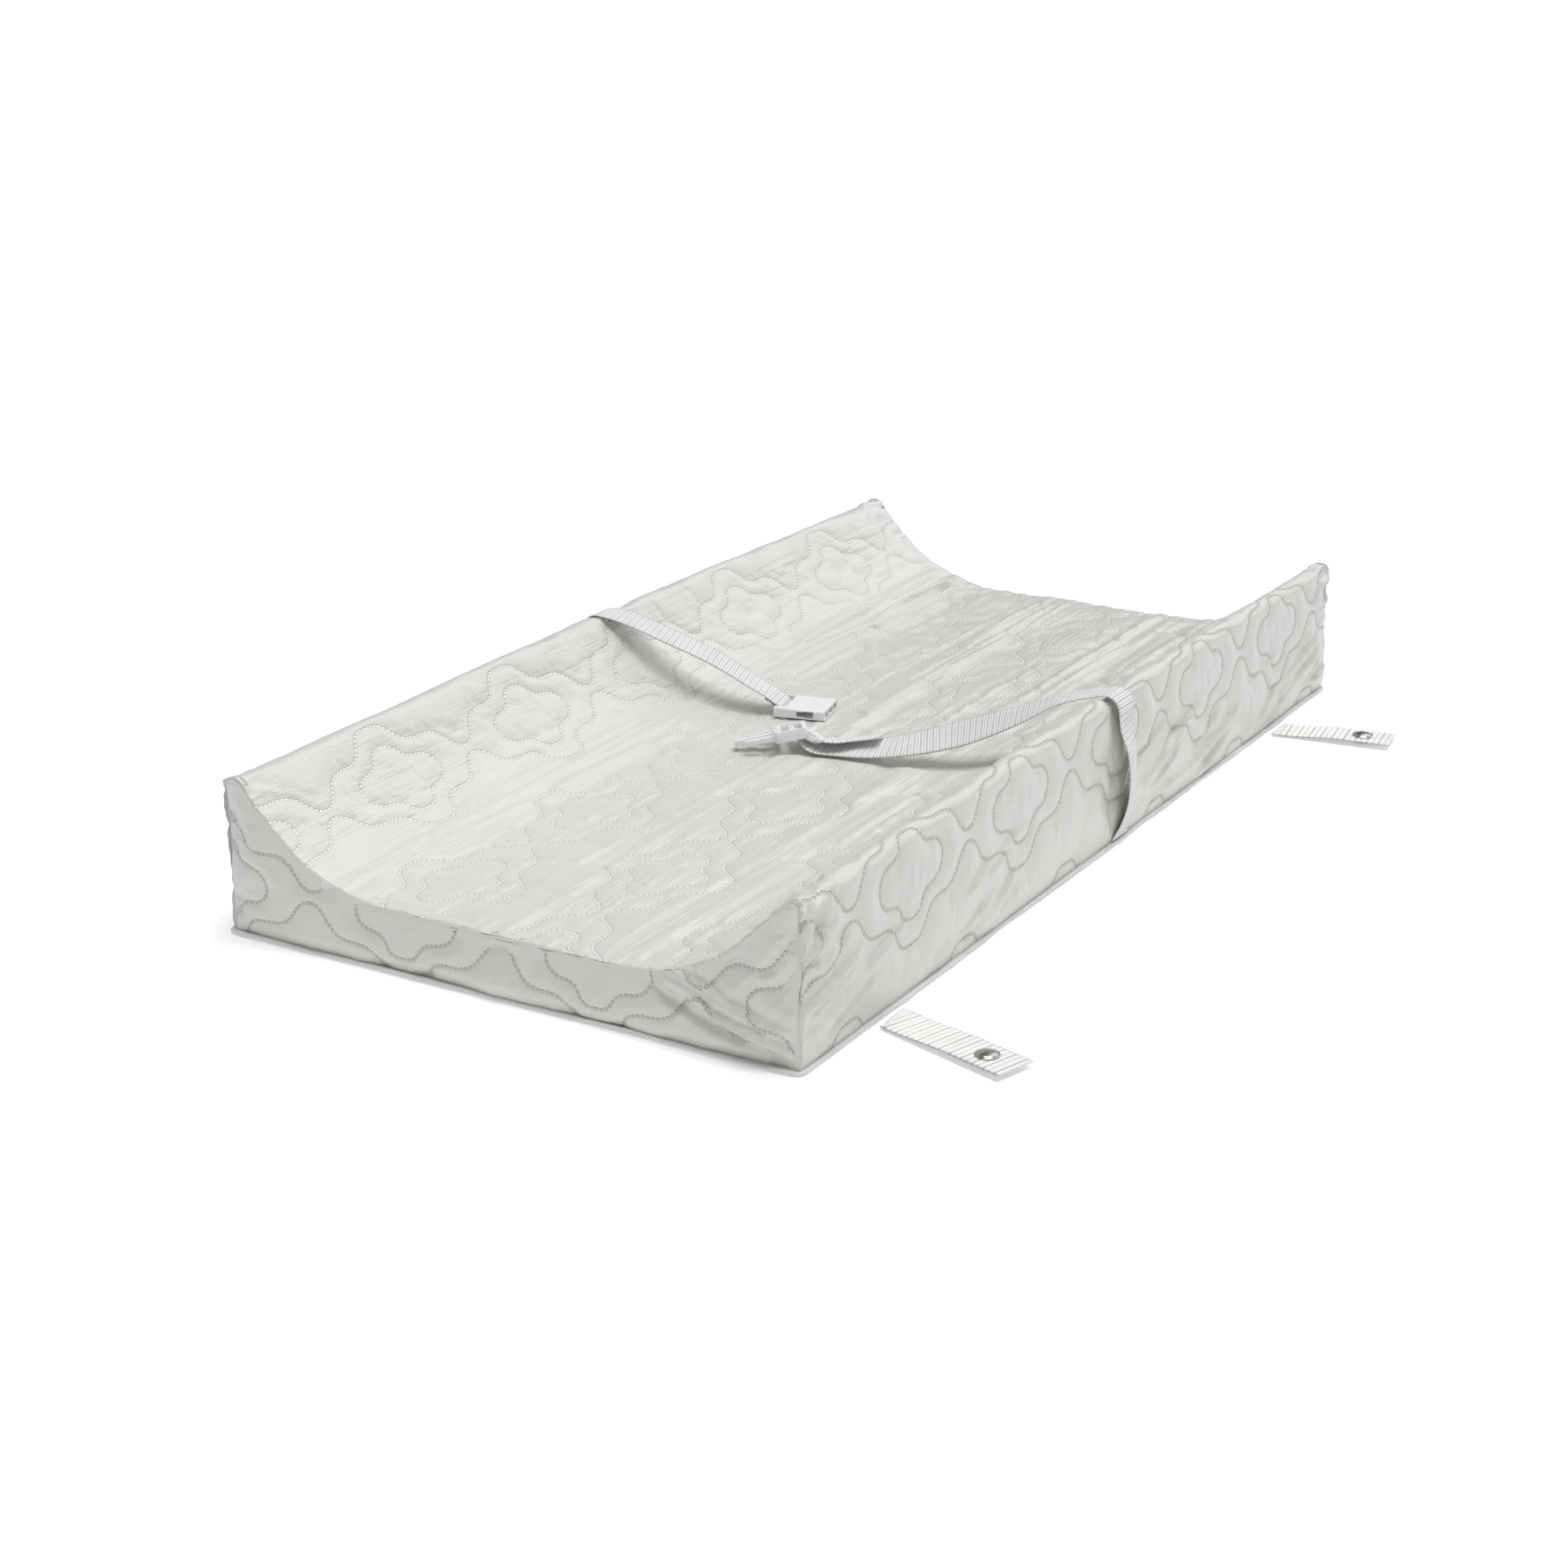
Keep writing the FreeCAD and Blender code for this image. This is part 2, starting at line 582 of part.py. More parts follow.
def plug_tongue():
    """Middle prong with a chamfered tip and two grooves along each face."""
    half_t = PRONG_THICKNESS / 2
    half_w = TONGUE_WIDTH / 2
    front = plug_shoulder_front()
    tip = front + prong_length()
    tongue = centred_block(front, tip, half_w, half_t)
    nose = [e for e in tongue.Edges if e.BoundBox.XMin > tip - HALF_THICK]
    tongue = tongue.makeChamfer(TONGUE_CHAMFER, nose)
    for y in (-half_w / 2, half_w / 2):
        for z in (-half_t, half_t):
            z0, z1 = sorted((z, z - math.copysign(TONGUE_GROOVE_DEPTH, z)))
            tongue = tongue.cut(block(front + SOCKET_RIB_LENGTH, tip - half_w, y - TONGUE_GROOVE_WIDTH / 2,
                                      y + TONGUE_GROOVE_WIDTH / 2, z0, z1))
    return tongue


def arm_root(side):
    """Axis of an arm's living hinge in the shoulder."""
    return V(plug_shoulder_front() - ARM_ROOT_RADIUS / 2, side * arm_centre(), 0)


def arm_recess(side):
    """Round seat in the shoulder for an arm's root, open to the front."""
    radius = ARM_ROOT_RADIUS + ARM_ROOT_CLEARANCE
    root = arm_root(side)
    seat = Part.makeCylinder(radius, PLUG_THICKNESS, root - V(0, 0, PLUG_THICKNESS / 2), V(0, 0, 1))
    mouth = block(root.x, plug_shoulder_front(), root.y - radius, root.y + radius,
                  -PLUG_THICKNESS / 2, PLUG_THICKNESS / 2)
    return seat.fuse(mouth)


def plug_arm(side):
    """Sprung side arm with a round nose and a catch that stands out into the socket window."""
    half_t = PRONG_THICKNESS / 2
    root = arm_root(side)
    tip = plug_shoulder_front() + prong_length() - ARM_SHORTER
    nose = ARM_WIDTH / 2
    arm = Part.makeCylinder(ARM_ROOT_RADIUS, 2 * half_t, root - V(0, 0, half_t), V(0, 0, 1))
    arm = arm.fuse(block(root.x, tip - nose, root.y - nose, root.y + nose, -half_t, half_t))
    arm = arm.fuse(Part.makeCylinder(nose, 2 * half_t, V(tip - nose, root.y, -half_t), V(0, 0, 1)))
    edge = root.y + side * nose
    points = [
        V(tip - nose, edge, -half_t),
        V(tip - CATCH_LENGTH / 2, edge + side * CATCH_DEPTH, -half_t),
        V(tip - CATCH_LENGTH, edge + side * CATCH_DEPTH, -half_t),
        V(tip - CATCH_LENGTH - CATCH_DEPTH / 2, edge, -half_t),
        V(tip - CATCH_LENGTH, root.y, -half_t),
        V(tip - nose, root.y, -half_t),
    ]
    catch = Part.Face(Part.makePolygon(points + [points[0]])).extrude(V(0, 0, 2 * half_t))
    return placed(arm.fuse(catch).removeSplitter(), plug_placement())


# ---- anchor tabs ----

def tab_axis():
    """Y and Z of the line that a tab turns about."""
    y = -(HALF_WIDTH + SEAM_WIDTH + HINGE_GAP + HALF_THICK)
    return y, SEAM_THICKNESS / 2


def tab_direction(skew):
    """Level direction of a tab."""
    angle = math.radians(skew)
    return V(-math.sin(angle), -math.cos(angle), 0)


def snap_centre(x, skew, length):
    """Centre of the snap on the underside of the webbing."""
    y, _ = tab_axis()
    point = V(x, y, 0) + tab_direction(skew) * (length - SNAP_SETBACK)
    return V(point.x, point.y, SNAP_SOCKET_HEIGHT)


def anchor_strap(x, skew, length):
    """Webbing tab that rises from the seam and lies level where the snap is fixed."""
    y, z = tab_axis()
    run = tab_direction(skew)
    across = V(-run.y, run.x, 0)
    snap = snap_centre(x, skew, length)
    level = SNAP_SOCKET_HEIGHT + HALF_THICK
    flat = CAP_RADIUS + HALF_THICK
    near = V(snap.x, snap.y, level) - run * flat
    tip = V(snap.x, snap.y, level) + run * SNAP_SETBACK
    dip = V(x, y, TAB_DIP_HEIGHT) + run * TAB_DIP
    stations = [(V(x, y, z), V(1, 0, 0)), (dip, across), (near, across), (tip, across)]
    tab = ribbon(stations, (V(0, -1, 0), run), (True, False), TAB_WIDTH)
    hole = Part.makeCylinder(POST_RADIUS + POST_CLEARANCE, 4 * WEBBING_THICKNESS,
                             snap - V(0, 0, WEBBING_THICKNESS), V(0, 0, 1))
    return tab.cut(hole)


def snap_cap(x, skew, length):
    """Domed cap on top of the webbing, with the post that rivets it to the socket below."""
    snap = snap_centre(x, skew, length)
    base = snap + V(0, 0, WEBBING_THICKNESS)
    crown = (CAP_RADIUS ** 2 + (CAP_HEIGHT - CAP_RIM) ** 2) / (2 * (CAP_HEIGHT - CAP_RIM))
    ball = Part.makeSphere(crown, base + V(0, 0, CAP_HEIGHT - crown))
    dome = Part.makeCylinder(CAP_RADIUS, CAP_HEIGHT, base, V(0, 0, 1)).common(ball)
    post = Part.makeCylinder(POST_RADIUS, WEBBING_THICKNESS, snap, V(0, 0, 1))
    return dome.fuse(post).removeSplitter()


def snap_socket(x, skew, length):
    """Cup under the webbing that a press stud snaps into, open downwards."""
    snap = snap_centre(x, skew, length)
    mouth = snap - V(0, 0, SNAP_SOCKET_HEIGHT)
    cup = Part.makeCylinder(SNAP_SOCKET_RADIUS, SNAP_SOCKET_HEIGHT, mouth, V(0, 0, 1))
    rims = [e for e in cup.Edges if isinstance(e.Curve, Part.Circle)]
    cup = cup.makeFillet(SOCKET_CUP_ROUNDING, rims)
    bore = Part.makeCylinder(STUD_BORE_RADIUS, SNAP_SOCKET_HEIGHT - SNAP_SOCKET_WEB, mouth, V(0, 0, 1))
    groove = Part.makeTorus(STUD_BORE_RADIUS + SPRING_WIRE, SPRING_GROOVE,
                            mouth + V(0, 0, SPRING_INSET), V(0, 0, 1))
    return cup.cut(bore).cut(groove)


def snap_spring(x, skew, length):
    """Ring of spring wire in the socket's groove."""
    snap = snap_centre(x, skew, length)
    centre = snap - V(0, 0, SNAP_SOCKET_HEIGHT - SPRING_INSET)
    return Part.makeTorus(STUD_BORE_RADIUS + SPRING_WIRE, SPRING_WIRE, centre, V(0, 0, 1))


def build():
    nodes = {
        "foam_core": foam_core(),
        "quilted_cover": quilted_cover(),
        "end_panel_foot": end_panel(-HALF_LENGTH),
        "end_panel_head": end_panel(HALF_LENGTH - END_THICKNESS),
        "base_panel": base_panel(),
        "base_seam": seam_frame(),
        "near_strap_outer": outer_strap(NEAR_ROOT_X, NEAR_RIDGE_X, -1),
        "near_strap_lap": near_lap(),
        "near_strap_adjuster_loop": near_adjuster_loop(),
        "near_strap_tail": near_tail(),
        "far_strap_outer": outer_strap(FAR_ROOT_X, FAR_RIDGE_X, 1),
        "far_strap_lap": far_lap(),
        "far_strap_bar_loop": far_bar_loop(),
        "buckle_socket": buckle_socket(),
        "buckle_plug": buckle_plug(),
        "plug_arm_left": plug_arm(1),
        "plug_arm_right": plug_arm(-1),
    }
    nodes.update(sewn_ends())
    tabs = {
        "foot": (TAB_FOOT_X, TAB_FOOT_SKEW, TAB_FOOT_LENGTH),
        "head": (TAB_HEAD_X, TAB_HEAD_SKEW, TAB_HEAD_LENGTH),
    }
    for end, tab in tabs.items():
        nodes["anchor_strap_" + end] = anchor_strap(*tab)
        nodes["snap_cap_" + end] = snap_cap(*tab)
        nodes["snap_socket_" + end] = snap_socket(*tab)
        nodes["snap_spring_" + end] = snap_spring(*tab)
    return nodes


os.makedirs("parts", exist_ok=True)
for name, shape in build().items():
    solid = single(shape)
    print(name, solid.isValid(), round(solid.Volume, 1))
    solid.exportStep("parts/" + name + ".step")
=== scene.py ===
import json
import math
import bpy
import numpy as np
from mathutils import Matrix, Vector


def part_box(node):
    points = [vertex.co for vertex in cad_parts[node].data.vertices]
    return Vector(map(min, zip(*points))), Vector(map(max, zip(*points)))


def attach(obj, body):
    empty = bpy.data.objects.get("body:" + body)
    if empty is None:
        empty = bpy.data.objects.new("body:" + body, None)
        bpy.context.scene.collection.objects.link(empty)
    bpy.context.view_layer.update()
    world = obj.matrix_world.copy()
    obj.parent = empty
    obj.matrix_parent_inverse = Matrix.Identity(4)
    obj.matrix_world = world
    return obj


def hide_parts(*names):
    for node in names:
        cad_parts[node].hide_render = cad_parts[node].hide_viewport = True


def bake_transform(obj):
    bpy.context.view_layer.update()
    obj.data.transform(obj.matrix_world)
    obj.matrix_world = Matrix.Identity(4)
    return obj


# A contoured changing pad: quilted vinyl cover over a dished foam block, a webbing belt with a
# side-release buckle, and two webbing anchor tabs with press snaps.  Lengths below are in
# millimetres and become metres when a mesh is made.  +X is the head end, -Y the side with the tabs.

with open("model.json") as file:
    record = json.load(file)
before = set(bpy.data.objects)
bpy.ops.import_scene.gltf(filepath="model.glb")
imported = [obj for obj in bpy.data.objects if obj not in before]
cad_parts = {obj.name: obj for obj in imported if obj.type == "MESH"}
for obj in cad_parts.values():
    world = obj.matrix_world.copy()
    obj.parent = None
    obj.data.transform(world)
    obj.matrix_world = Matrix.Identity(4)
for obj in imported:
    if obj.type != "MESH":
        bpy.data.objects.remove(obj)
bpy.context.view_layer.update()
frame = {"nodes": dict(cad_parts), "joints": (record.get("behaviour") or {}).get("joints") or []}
MM = 0.001
joints = {j["name"]: j for j in frame["joints"]}


def joint_point(name):
    """A joint's place at rest, in millimetres."""
    return np.array(joints[name]["pos_m"]) / MM


# -------- small tools

def smooth(a, b, x):
    """0 below a, 1 above b, with an S-shaped rise between them."""
    t = np.clip((x - a) / (b - a), 0.0, 1.0)
    return t * t * (3.0 - 2.0 * t)


def hump(x, centre, width):
    """Bell of height 1 at centre that falls to 1/e at width."""
    return np.exp(-((x - centre) / width) ** 2)


def noise(x, y, seed):
    """Smooth random field between -1 and 1: random values on whole numbers, blended by quintic steps."""
    size = 128
    table = np.random.default_rng(seed).uniform(-1.0, 1.0, (size, size))
    xi = np.floor(x).astype(int)
    yi = np.floor(y).astype(int)
    fx = x - xi
    fy = y - yi
    fx = fx ** 3 * (fx * (fx * 6.0 - 15.0) + 10.0)
    fy = fy ** 3 * (fy * (fy * 6.0 - 15.0) + 10.0)
    x0, x1, y0, y1 = xi % size, (xi + 1) % size, yi % size, (yi + 1) % size
    low = table[x0, y0] * (1 - fx) + table[x1, y0] * fx
    high = table[x0, y1] * (1 - fx) + table[x1, y1] * fx
    return low * (1 - fy) + high * fy


def noise_along(at, length, seed):
    """The same field read along a line, with one random value every length."""
    return noise(at / length, at * 0 + 0.5, seed)


def creases(x, y, seed):
    """Narrow ridges with wide valleys: the cube of 1 - |noise|, less its usual value."""
    return (1.0 - np.abs(noise(x, y, seed))) ** 3 - 0.3


def unit(v):
    """Vectors scaled to length 1."""
    return v / np.linalg.norm(v, axis=-1, keepdims=True)


def curve_through(points, spacing):
    """Points a fixed spacing apart on a centripetal Catmull-Rom curve through the given rows, and how
    far along it each lies.  The first three numbers of a row are its place; the rest go with it."""
    steps = 40
    p = np.asarray(points, float)
    p = np.vstack([2 * p[0] - p[1], p, 2 * p[-1] - p[-2]])
    rows = []
    for a, b, c, d in zip(p[:-3], p[1:-2], p[2:-1], p[3:]):
        t = [0.0]
        for m, n in ((a, b), (b, c), (c, d)):
            t.append(t[-1] + max(np.linalg.norm((n - m)[:3]), 1e-6) ** 0.5)
        u = np.linspace(t[1], t[2], steps, endpoint=False)[:, None]

        def mix(i, j, low, high):
            return (t[j] - u) / (t[j] - t[i]) * low + (u - t[i]) / (t[j] - t[i]) * high

        bc = mix(1, 2, b, c)
        rows.append(mix(1, 2, mix(0, 2, mix(0, 1, a, b), bc), mix(1, 3, bc, mix(2, 3, c, d))))
    rows.append(p[-2][None])
    dense = np.vstack(rows)
    run = np.r_[0.0, np.cumsum(np.linalg.norm(np.diff(dense[:, :3], axis=0), axis=1))]
    count = max(2, int(round(run[-1] / spacing)) + 1)
    at = np.linspace(0.0, run[-1], count)
    return np.column_stack([np.interp(at, run, column) for column in dense.T]), at


def grid_quads(rows, columns, start=0, close_columns=False):
    """Corner numbers of the quads of a rows x columns grid of points."""
    across = columns if close_columns else columns - 1
    r, c = np.meshgrid(np.arange(rows - 1), np.arange(across), indexing="ij")
    n = (c + 1) % columns
    here, ahead = r * columns, (r + 1) * columns
    return (start + np.stack([here + c, here + n, ahead + n, ahead + c], -1)).reshape(-1, 4)


def rim_of(rows, columns):
    """Point numbers round the edge of a rows x columns grid, first along column 0."""
    return np.concatenate([np.arange(rows) * columns, (rows - 1) * columns + np.arange(1, columns),
                           np.arange(rows - 1)[::-1] * columns + columns - 1, np.arange(columns - 2, 0, -1)])


def make_piece(name, points, quads, polygons=(), attributes=None):
    """Mesh object from points in millimetres, an array of quads, any other polygons, and the three
    numbers that each point carries under a name."""
    mesh = bpy.data.meshes.new(name)
    points = np.asarray(points, float).reshape(-1, 3)
    quads = np.asarray(quads, int).reshape(-1, 4)
    corners = np.concatenate([quads.ravel()] + [np.asarray(p, int) for p in polygons])
    sizes = np.concatenate([np.full(len(quads), 4), [len(p) for p in polygons]]).astype(int)
    starts = np.concatenate([[0], np.cumsum(sizes)[:-1]]).astype(int)
    mesh.vertices.add(len(points))
    mesh.vertices.foreach_set("co", (points * MM).ravel())
    mesh.loops.add(len(corners))
    mesh.loops.foreach_set("vertex_index", corners)
    mesh.polygons.add(len(sizes))
    mesh.polygons.foreach_set("loop_start", starts)
    mesh.polygons.foreach_set("use_smooth", np.full(len(sizes), True))
    for key, values in (attributes or {}).items():
        layer = mesh.attributes.new(key, "FLOAT_VECTOR", "POINT")
        layer.data.foreach_set("vector", np.asarray(values, float).ravel())
    mesh.update(calc_edges=True)
    mesh.validate()
    piece = bpy.data.objects.new(name, mesh)
    bpy.context.collection.objects.link(piece)
    return piece


def dress(piece, material, slot, body, *nodes):
    """Give a piece its finish, the body it moves with, unless it bends, and the solids it stands for."""
    piece.data.materials.append(material)
    if body:
        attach(piece, body)
    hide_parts(*nodes)


# -------- places of the belt

class Seat:
    """Axes of a buckle half: forward from its bar, left, and up."""

    def __init__(self, origin, yaw, pitch=0.0, roll=0.0):
        a, b, c = (math.radians(v) for v in (yaw, pitch, roll))
        turn = np.array([[math.cos(a), -math.sin(a), 0], [math.sin(a), math.cos(a), 0], [0, 0, 1]])
        tilt = np.array([[math.cos(b), 0, -math.sin(b)], [0, 1, 0], [math.sin(b), 0, math.cos(b)]])
        lean = np.array([[1, 0, 0], [0, math.cos(c), -math.sin(c)], [0, math.sin(c), math.cos(c)]])
        self.origin = np.asarray(origin, float)
        self.axes = turn @ tilt @ lean

    def point(self, x, y, z):
        return self.origin + self.axes @ np.array([x, y, z])

    def direction(self, x, y, z):
        return self.axes @ np.array([x, y, z])

    def tilted(self, degrees):
        """The same seat, nose down by an angle about its bar."""
        other = Seat(self.origin, 0.0)
        c, s = math.cos(math.radians(degrees)), math.sin(math.radians(degrees))
        other.axes = self.axes @ np.array([[c, 0, s], [0, 1, 0], [-s, 0, c]])
        return other


PLUG = Seat(joint_point("plug_tilt"), 125.6, -10.7, 9.9)
SOCKET = Seat(joint_point("socket_tilt"), -77.0)
FAR_LOOP = SOCKET.tilted(32.0)
BUCKLE_REACH = 42.0
PRESSED, FREE = 14.0, 26.0          # how far from the belt's middle the cover is flat, and full again
near_crest = joint_point("near_ridge_fold")
far_crest = joint_point("far_ridge_fold")


def under_belt(points):
    """1 where the belt or a buckle half lies over the cover, falling to 0 beside it."""
    nearest = np.full(points.shape[:-1], 1e9)
    for path in ((near_crest, PLUG.origin, PLUG.point(BUCKLE_REACH, 0, 0)),
                 (far_crest, SOCKET.origin, SOCKET.point(BUCKLE_REACH, 0, 0))):
        for a, b in zip(path[:-1], path[1:]):
            step = (b - a)[:2]
            offset = points[..., :2] - a[:2]
            share = np.clip((offset * step).sum(-1) / (step ** 2).sum(), 0.0, 1.0)
            nearest = np.minimum(nearest, np.linalg.norm(offset - share[..., None] * step, axis=-1))
    return 1.0 - smooth(PRESSED, FREE, nearest)


# -------- shader maths

class Value:
    """A shader socket that adds Math nodes when it is used in an expression."""

    def __init__(self, finish, socket):
        self.finish = finish
        self.socket = socket

    def math(self, operation, *others):
        return self.finish.calculate(operation, self, *others)

    def __add__(self, other):
        return self.math("ADD", other)

    def __sub__(self, other):
        return self.math("SUBTRACT", other)

    def __mul__(self, other):
        return self.math("MULTIPLY", other)

    def __truediv__(self, other):
        return self.math("DIVIDE", other)

    def __rsub__(self, other):
        return self.finish.calculate("SUBTRACT", other, self)

    __radd__ = __add__
    __rmul__ = __mul__

    def abs(self):
        return self.math("ABSOLUTE")

    def fraction(self):
        return self.math("FRACT")

    def sine(self):
        return self.math("SINE")

    def between(self, low, high):
        """0 at low, 1 at high, S-shaped between."""
        return self.finish.add("ShaderNodeMapRange", {"interpolation_type": "SMOOTHSTEP"},
                               {0: self, 1: low, 2: high})


class Finish:
    """One material: a Principled shader whose inputs are filled by name."""

    def __init__(self, name):
        self.material = bpy.data.materials.new(name)
        self.material.use_nodes = True
        self.tree = self.material.node_tree
        self.shader = next(n for n in self.tree.nodes if n.type == "BSDF_PRINCIPLED")

    def add(self, kind, settings=None, inputs=None, output=0):
        """A node with its settings and the values or links of its sockets, as one of its outputs."""
        node = self.tree.nodes.new(kind)
        for key, setting in (settings or {}).items():
            setattr(node, key, setting)
        for key, content in (inputs or {}).items():
            self.fill(node.inputs[key], content)
        return Value(self, node.outputs[output])

    def fill(self, socket, content):
        if isinstance(content, Value):
            self.tree.links.new(content.socket, socket)
        else:
            socket.default_value = content

    def calculate(self, operation, *numbers):
        return self.add("ShaderNodeMath", {"operation": operation}, dict(enumerate(numbers)))

    def place(self):
        return self.add("ShaderNodeTexCoord", output="Object")

    def grain(self, scale, detail=2.0, rough=0.5, vector=None):
        """Noise between 0 and 1."""
        return self.add("ShaderNodeTexNoise", None, {"Vector": vector or self.place(), "Scale": scale,
                                                     "Detail": detail, "Roughness": rough}, "Fac")

    def drawn_out(self, scales, detail, rough):
        """Noise with its own scale along each axis, so that it makes streaks."""
        vector = self.add("ShaderNodeVectorMath", {"operation": "MULTIPLY"}, {0: self.place(), 1: scales})
        return self.grain(1.0, detail, rough, vector)

    def carried(self, name):
        """The three numbers that the mesh carries under a name."""
        vector = self.add("ShaderNodeAttribute", {"attribute_name": name}, output="Vector")
        split = self.add("ShaderNodeSeparateXYZ", None, {0: vector})
        return [Value(self, socket) for socket in split.socket.node.outputs]

    def tint(self, amount, low, high):
        """Colour between two others, each a value or three numbers."""
        low, high = (c if isinstance(c, Value) else (*c, 1.0) for c in (low, high))
        return self.add("ShaderNodeMix", {"data_type": "RGBA"}, {"Factor": amount, 6: low, 7: high}, 2)

    def relief(self, height_mm, strength=1.0):
        """Bump from a height in millimetres."""
        return self.add("ShaderNodeBump", None,
                        {"Strength": strength, "Distance": 1.0, "Height": height_mm * MM}, "Normal")

    def finish(self, **inputs):
        for key, content in inputs.items():
            self.fill(self.shader.inputs[key.replace("_", " ")], content)
        return self.material


STITCH = 3.6                # one welded pit and the gap after it
PIT = 1.25                  # half a pit's length along its line
# VINYL_SHADE is the darker copy of the vinyl that painted shade and random tone mix towards.
VINYL_LIGHT = (0.745, 0.75, 0.725)
VINYL_SHADE = (0.52, 0.53, 0.495)
# Near-white painted into the pits where the cover faces up: a painted highlight.
PIT_HIGHLIGHT = (0.98, 0.98, 0.97)


def quilted_vinyl(name):
    """Wipe-clean white vinyl: fine grain, crisp hairline creases, and a row of welded pits along each
    quilting line.  The pits are painted near-white where the cover faces up (painted highlight) and darker on
    its sides (painted shade).
    The third carried number is 0 on the sides, 1 on the slopes, and up to 2 in the dish; the sides and the
    dish are painted darker by it (painted shade)."""
    f = Finish(name)
    signed, stitch, facing = f.carried("quilt")
    lit = facing.math("MINIMUM", 1.0)
    dish = (facing - 1.0).math("MAXIMUM", 0.0)
    distance = signed.abs()
    along = ((stitch.fraction() - 0.5) * STITCH).abs()
    reach = ((along / PIT) * (along / PIT) + distance * distance).math("SQRT")
    pit = 1.0 - reach.between(0.65, 1.15)
    rim = reach.between(0.9, 1.3) * (1.0 - reach.between(1.3, 2.1))
    furrow = 1.0 - distance.between(0.0, 2.6)
    fine = f.grain(1500.0, 3.0, 0.6)
    cloudy = f.grain(38.0, 3.0, 0.55)
    ridges = (f.drawn_out((11.0, 170.0, 170.0), 3.0, 0.55) - 0.5).abs() * 5.0
    streak = (1.0 - ridges.between(0.0, 1.0)) * (lit * 0.30 + 0.05)
    hair = f.drawn_out((26.0, 230.0, 230.0), 4.0, 0.6)
    patches = f.grain(11.0, 2.0, 0.5).between(0.38, 0.62)
    height = fine * 0.016 + hair * 0.24 + streak * (patches * 0.75 + 0.25) + cloudy * 0.1
    height = height - pit * (0.75 - lit * 0.4) + rim * 0.10 - furrow * 0.16
    # Painted shade: pits on the sides, furrows along the lines (most where the cover faces up), the dish and
    # the sides are painted darker; cloudy adds random tone.
    painted_shade_and_tone = pit * (0.26 - lit * 0.26) + furrow * (0.10 + lit * 0.34) + (cloudy - 0.5) * 0.12
    painted_shade_and_tone = painted_shade_and_tone + dish * 0.36 + (1.0 - lit) * 0.28
    return f.finish(
        # Colour: vinyl with painted shade towards VINYL_SHADE, and a painted highlight in the pits where the
        # cover faces up.
        Base_Color=f.tint(pit * lit, f.tint(painted_shade_and_tone, VINYL_LIGHT, VINYL_SHADE), PIT_HIGHLIGHT),
        Roughness=0.30 + cloudy * 0.08 + pit * 0.1,
        Normal=f.relief(height, 1.0),
        Specular_IOR_Level=0.8,
    )


def plain_vinyl(name):
    """Backing and seam tape: the same vinyl without quilting, with a fine cloth grain."""
    f = Finish(name)
    fine = f.grain(1300.0, 3.0, 0.6)
    cloudy = f.grain(60.0, 3.0, 0.55)
    hair = f.drawn_out((220.0, 220.0, 90.0), 4.0, 0.6)
    return f.finish(
        Base_Color=f.tint(cloudy.between(0.2, 0.9), (0.80, 0.805, 0.79), (0.72, 0.725, 0.705)),
        Roughness=0.42 + cloudy * 0.12,
        Normal=f.relief(fine * 0.03 + hair * 0.25 + cloudy * 0.1, 0.9),
    )


def webbing(name, yarn=0.55):
    """Woven white webbing: each rib is crossed by fine yarns, with a fuzzy, matt surface."""
    f = Finish(name)
    along, across, rib = f.carried("weave")
    yarns = (across * (2 * math.pi / yarn) + (along * (math.pi / yarn)).sine() * 0.6).sine()
    fuzz = f.grain(1700.0, 3.0, 0.7)
    patch = f.grain(90.0, 2.0, 0.5)
    groove = 1.0 - rib
    # Painted shade: the grooves between the ribs are painted darker, towards the grey below; patches and the
    # yarns add tone.
    shade = (groove * 0.9 + (patch - 0.5) * 0.3 + (0.5 - yarns * 0.5) * 0.15).between(0.0, 1.0)
    return f.finish(
        Base_Color=f.tint(shade, (0.93, 0.935, 0.92), (0.36, 0.37, 0.34)),
        Roughness=0.62 + patch * 0.2,
        Normal=f.relief(yarns * 0.05 * (rib * 0.6 + 0.4) + fuzz * 0.05, 0.9),
        Specular_IOR_Level=0.4,
        Sheen_Weight=0.2,
    )


def moulded_plastic(name):
    """White acetal: satin, with a faint orange-peel and flow marks."""
    f = Finish(name)
    peel = f.grain(900.0, 2.0, 0.5)
    flow = f.drawn_out((120.0, 40.0, 200.0), 3.0, 0.5)
    scuff = f.grain(260.0, 4.0, 0.7)
    return f.finish(
        Base_Color=f.tint(flow.between(0.2, 0.9), (0.94, 0.94, 0.935), (0.88, 0.885, 0.875)),
        Roughness=0.24 + scuff.between(0.45, 0.8) * 0.18,
        Normal=f.relief(peel * 0.005 + flow * 0.02 + scuff * 0.003, 0.8),
    )


def nickel(name, roughness, light, shade):
    """Plated metal with fine rubbing marks and a faint tarnish."""
    f = Finish(name)
    rub = f.drawn_out((900.0, 180.0, 900.0), 3.0, 0.7)
    spot = f.grain(420.0, 3.0, 0.6)
    return f.finish(
        Base_Color=f.tint(spot.between(0.45, 0.85), light, shade),
        Metallic=1.0,
        Roughness=roughness + rub * 0.08 + spot.between(0.5, 0.9) * 0.12,
        Normal=f.relief(rub * 0.006, 0.8),
    )


# -------- quilting

REPEAT = 144.0              # medallion to medallion along a row
ROW = 100.0                 # row to row
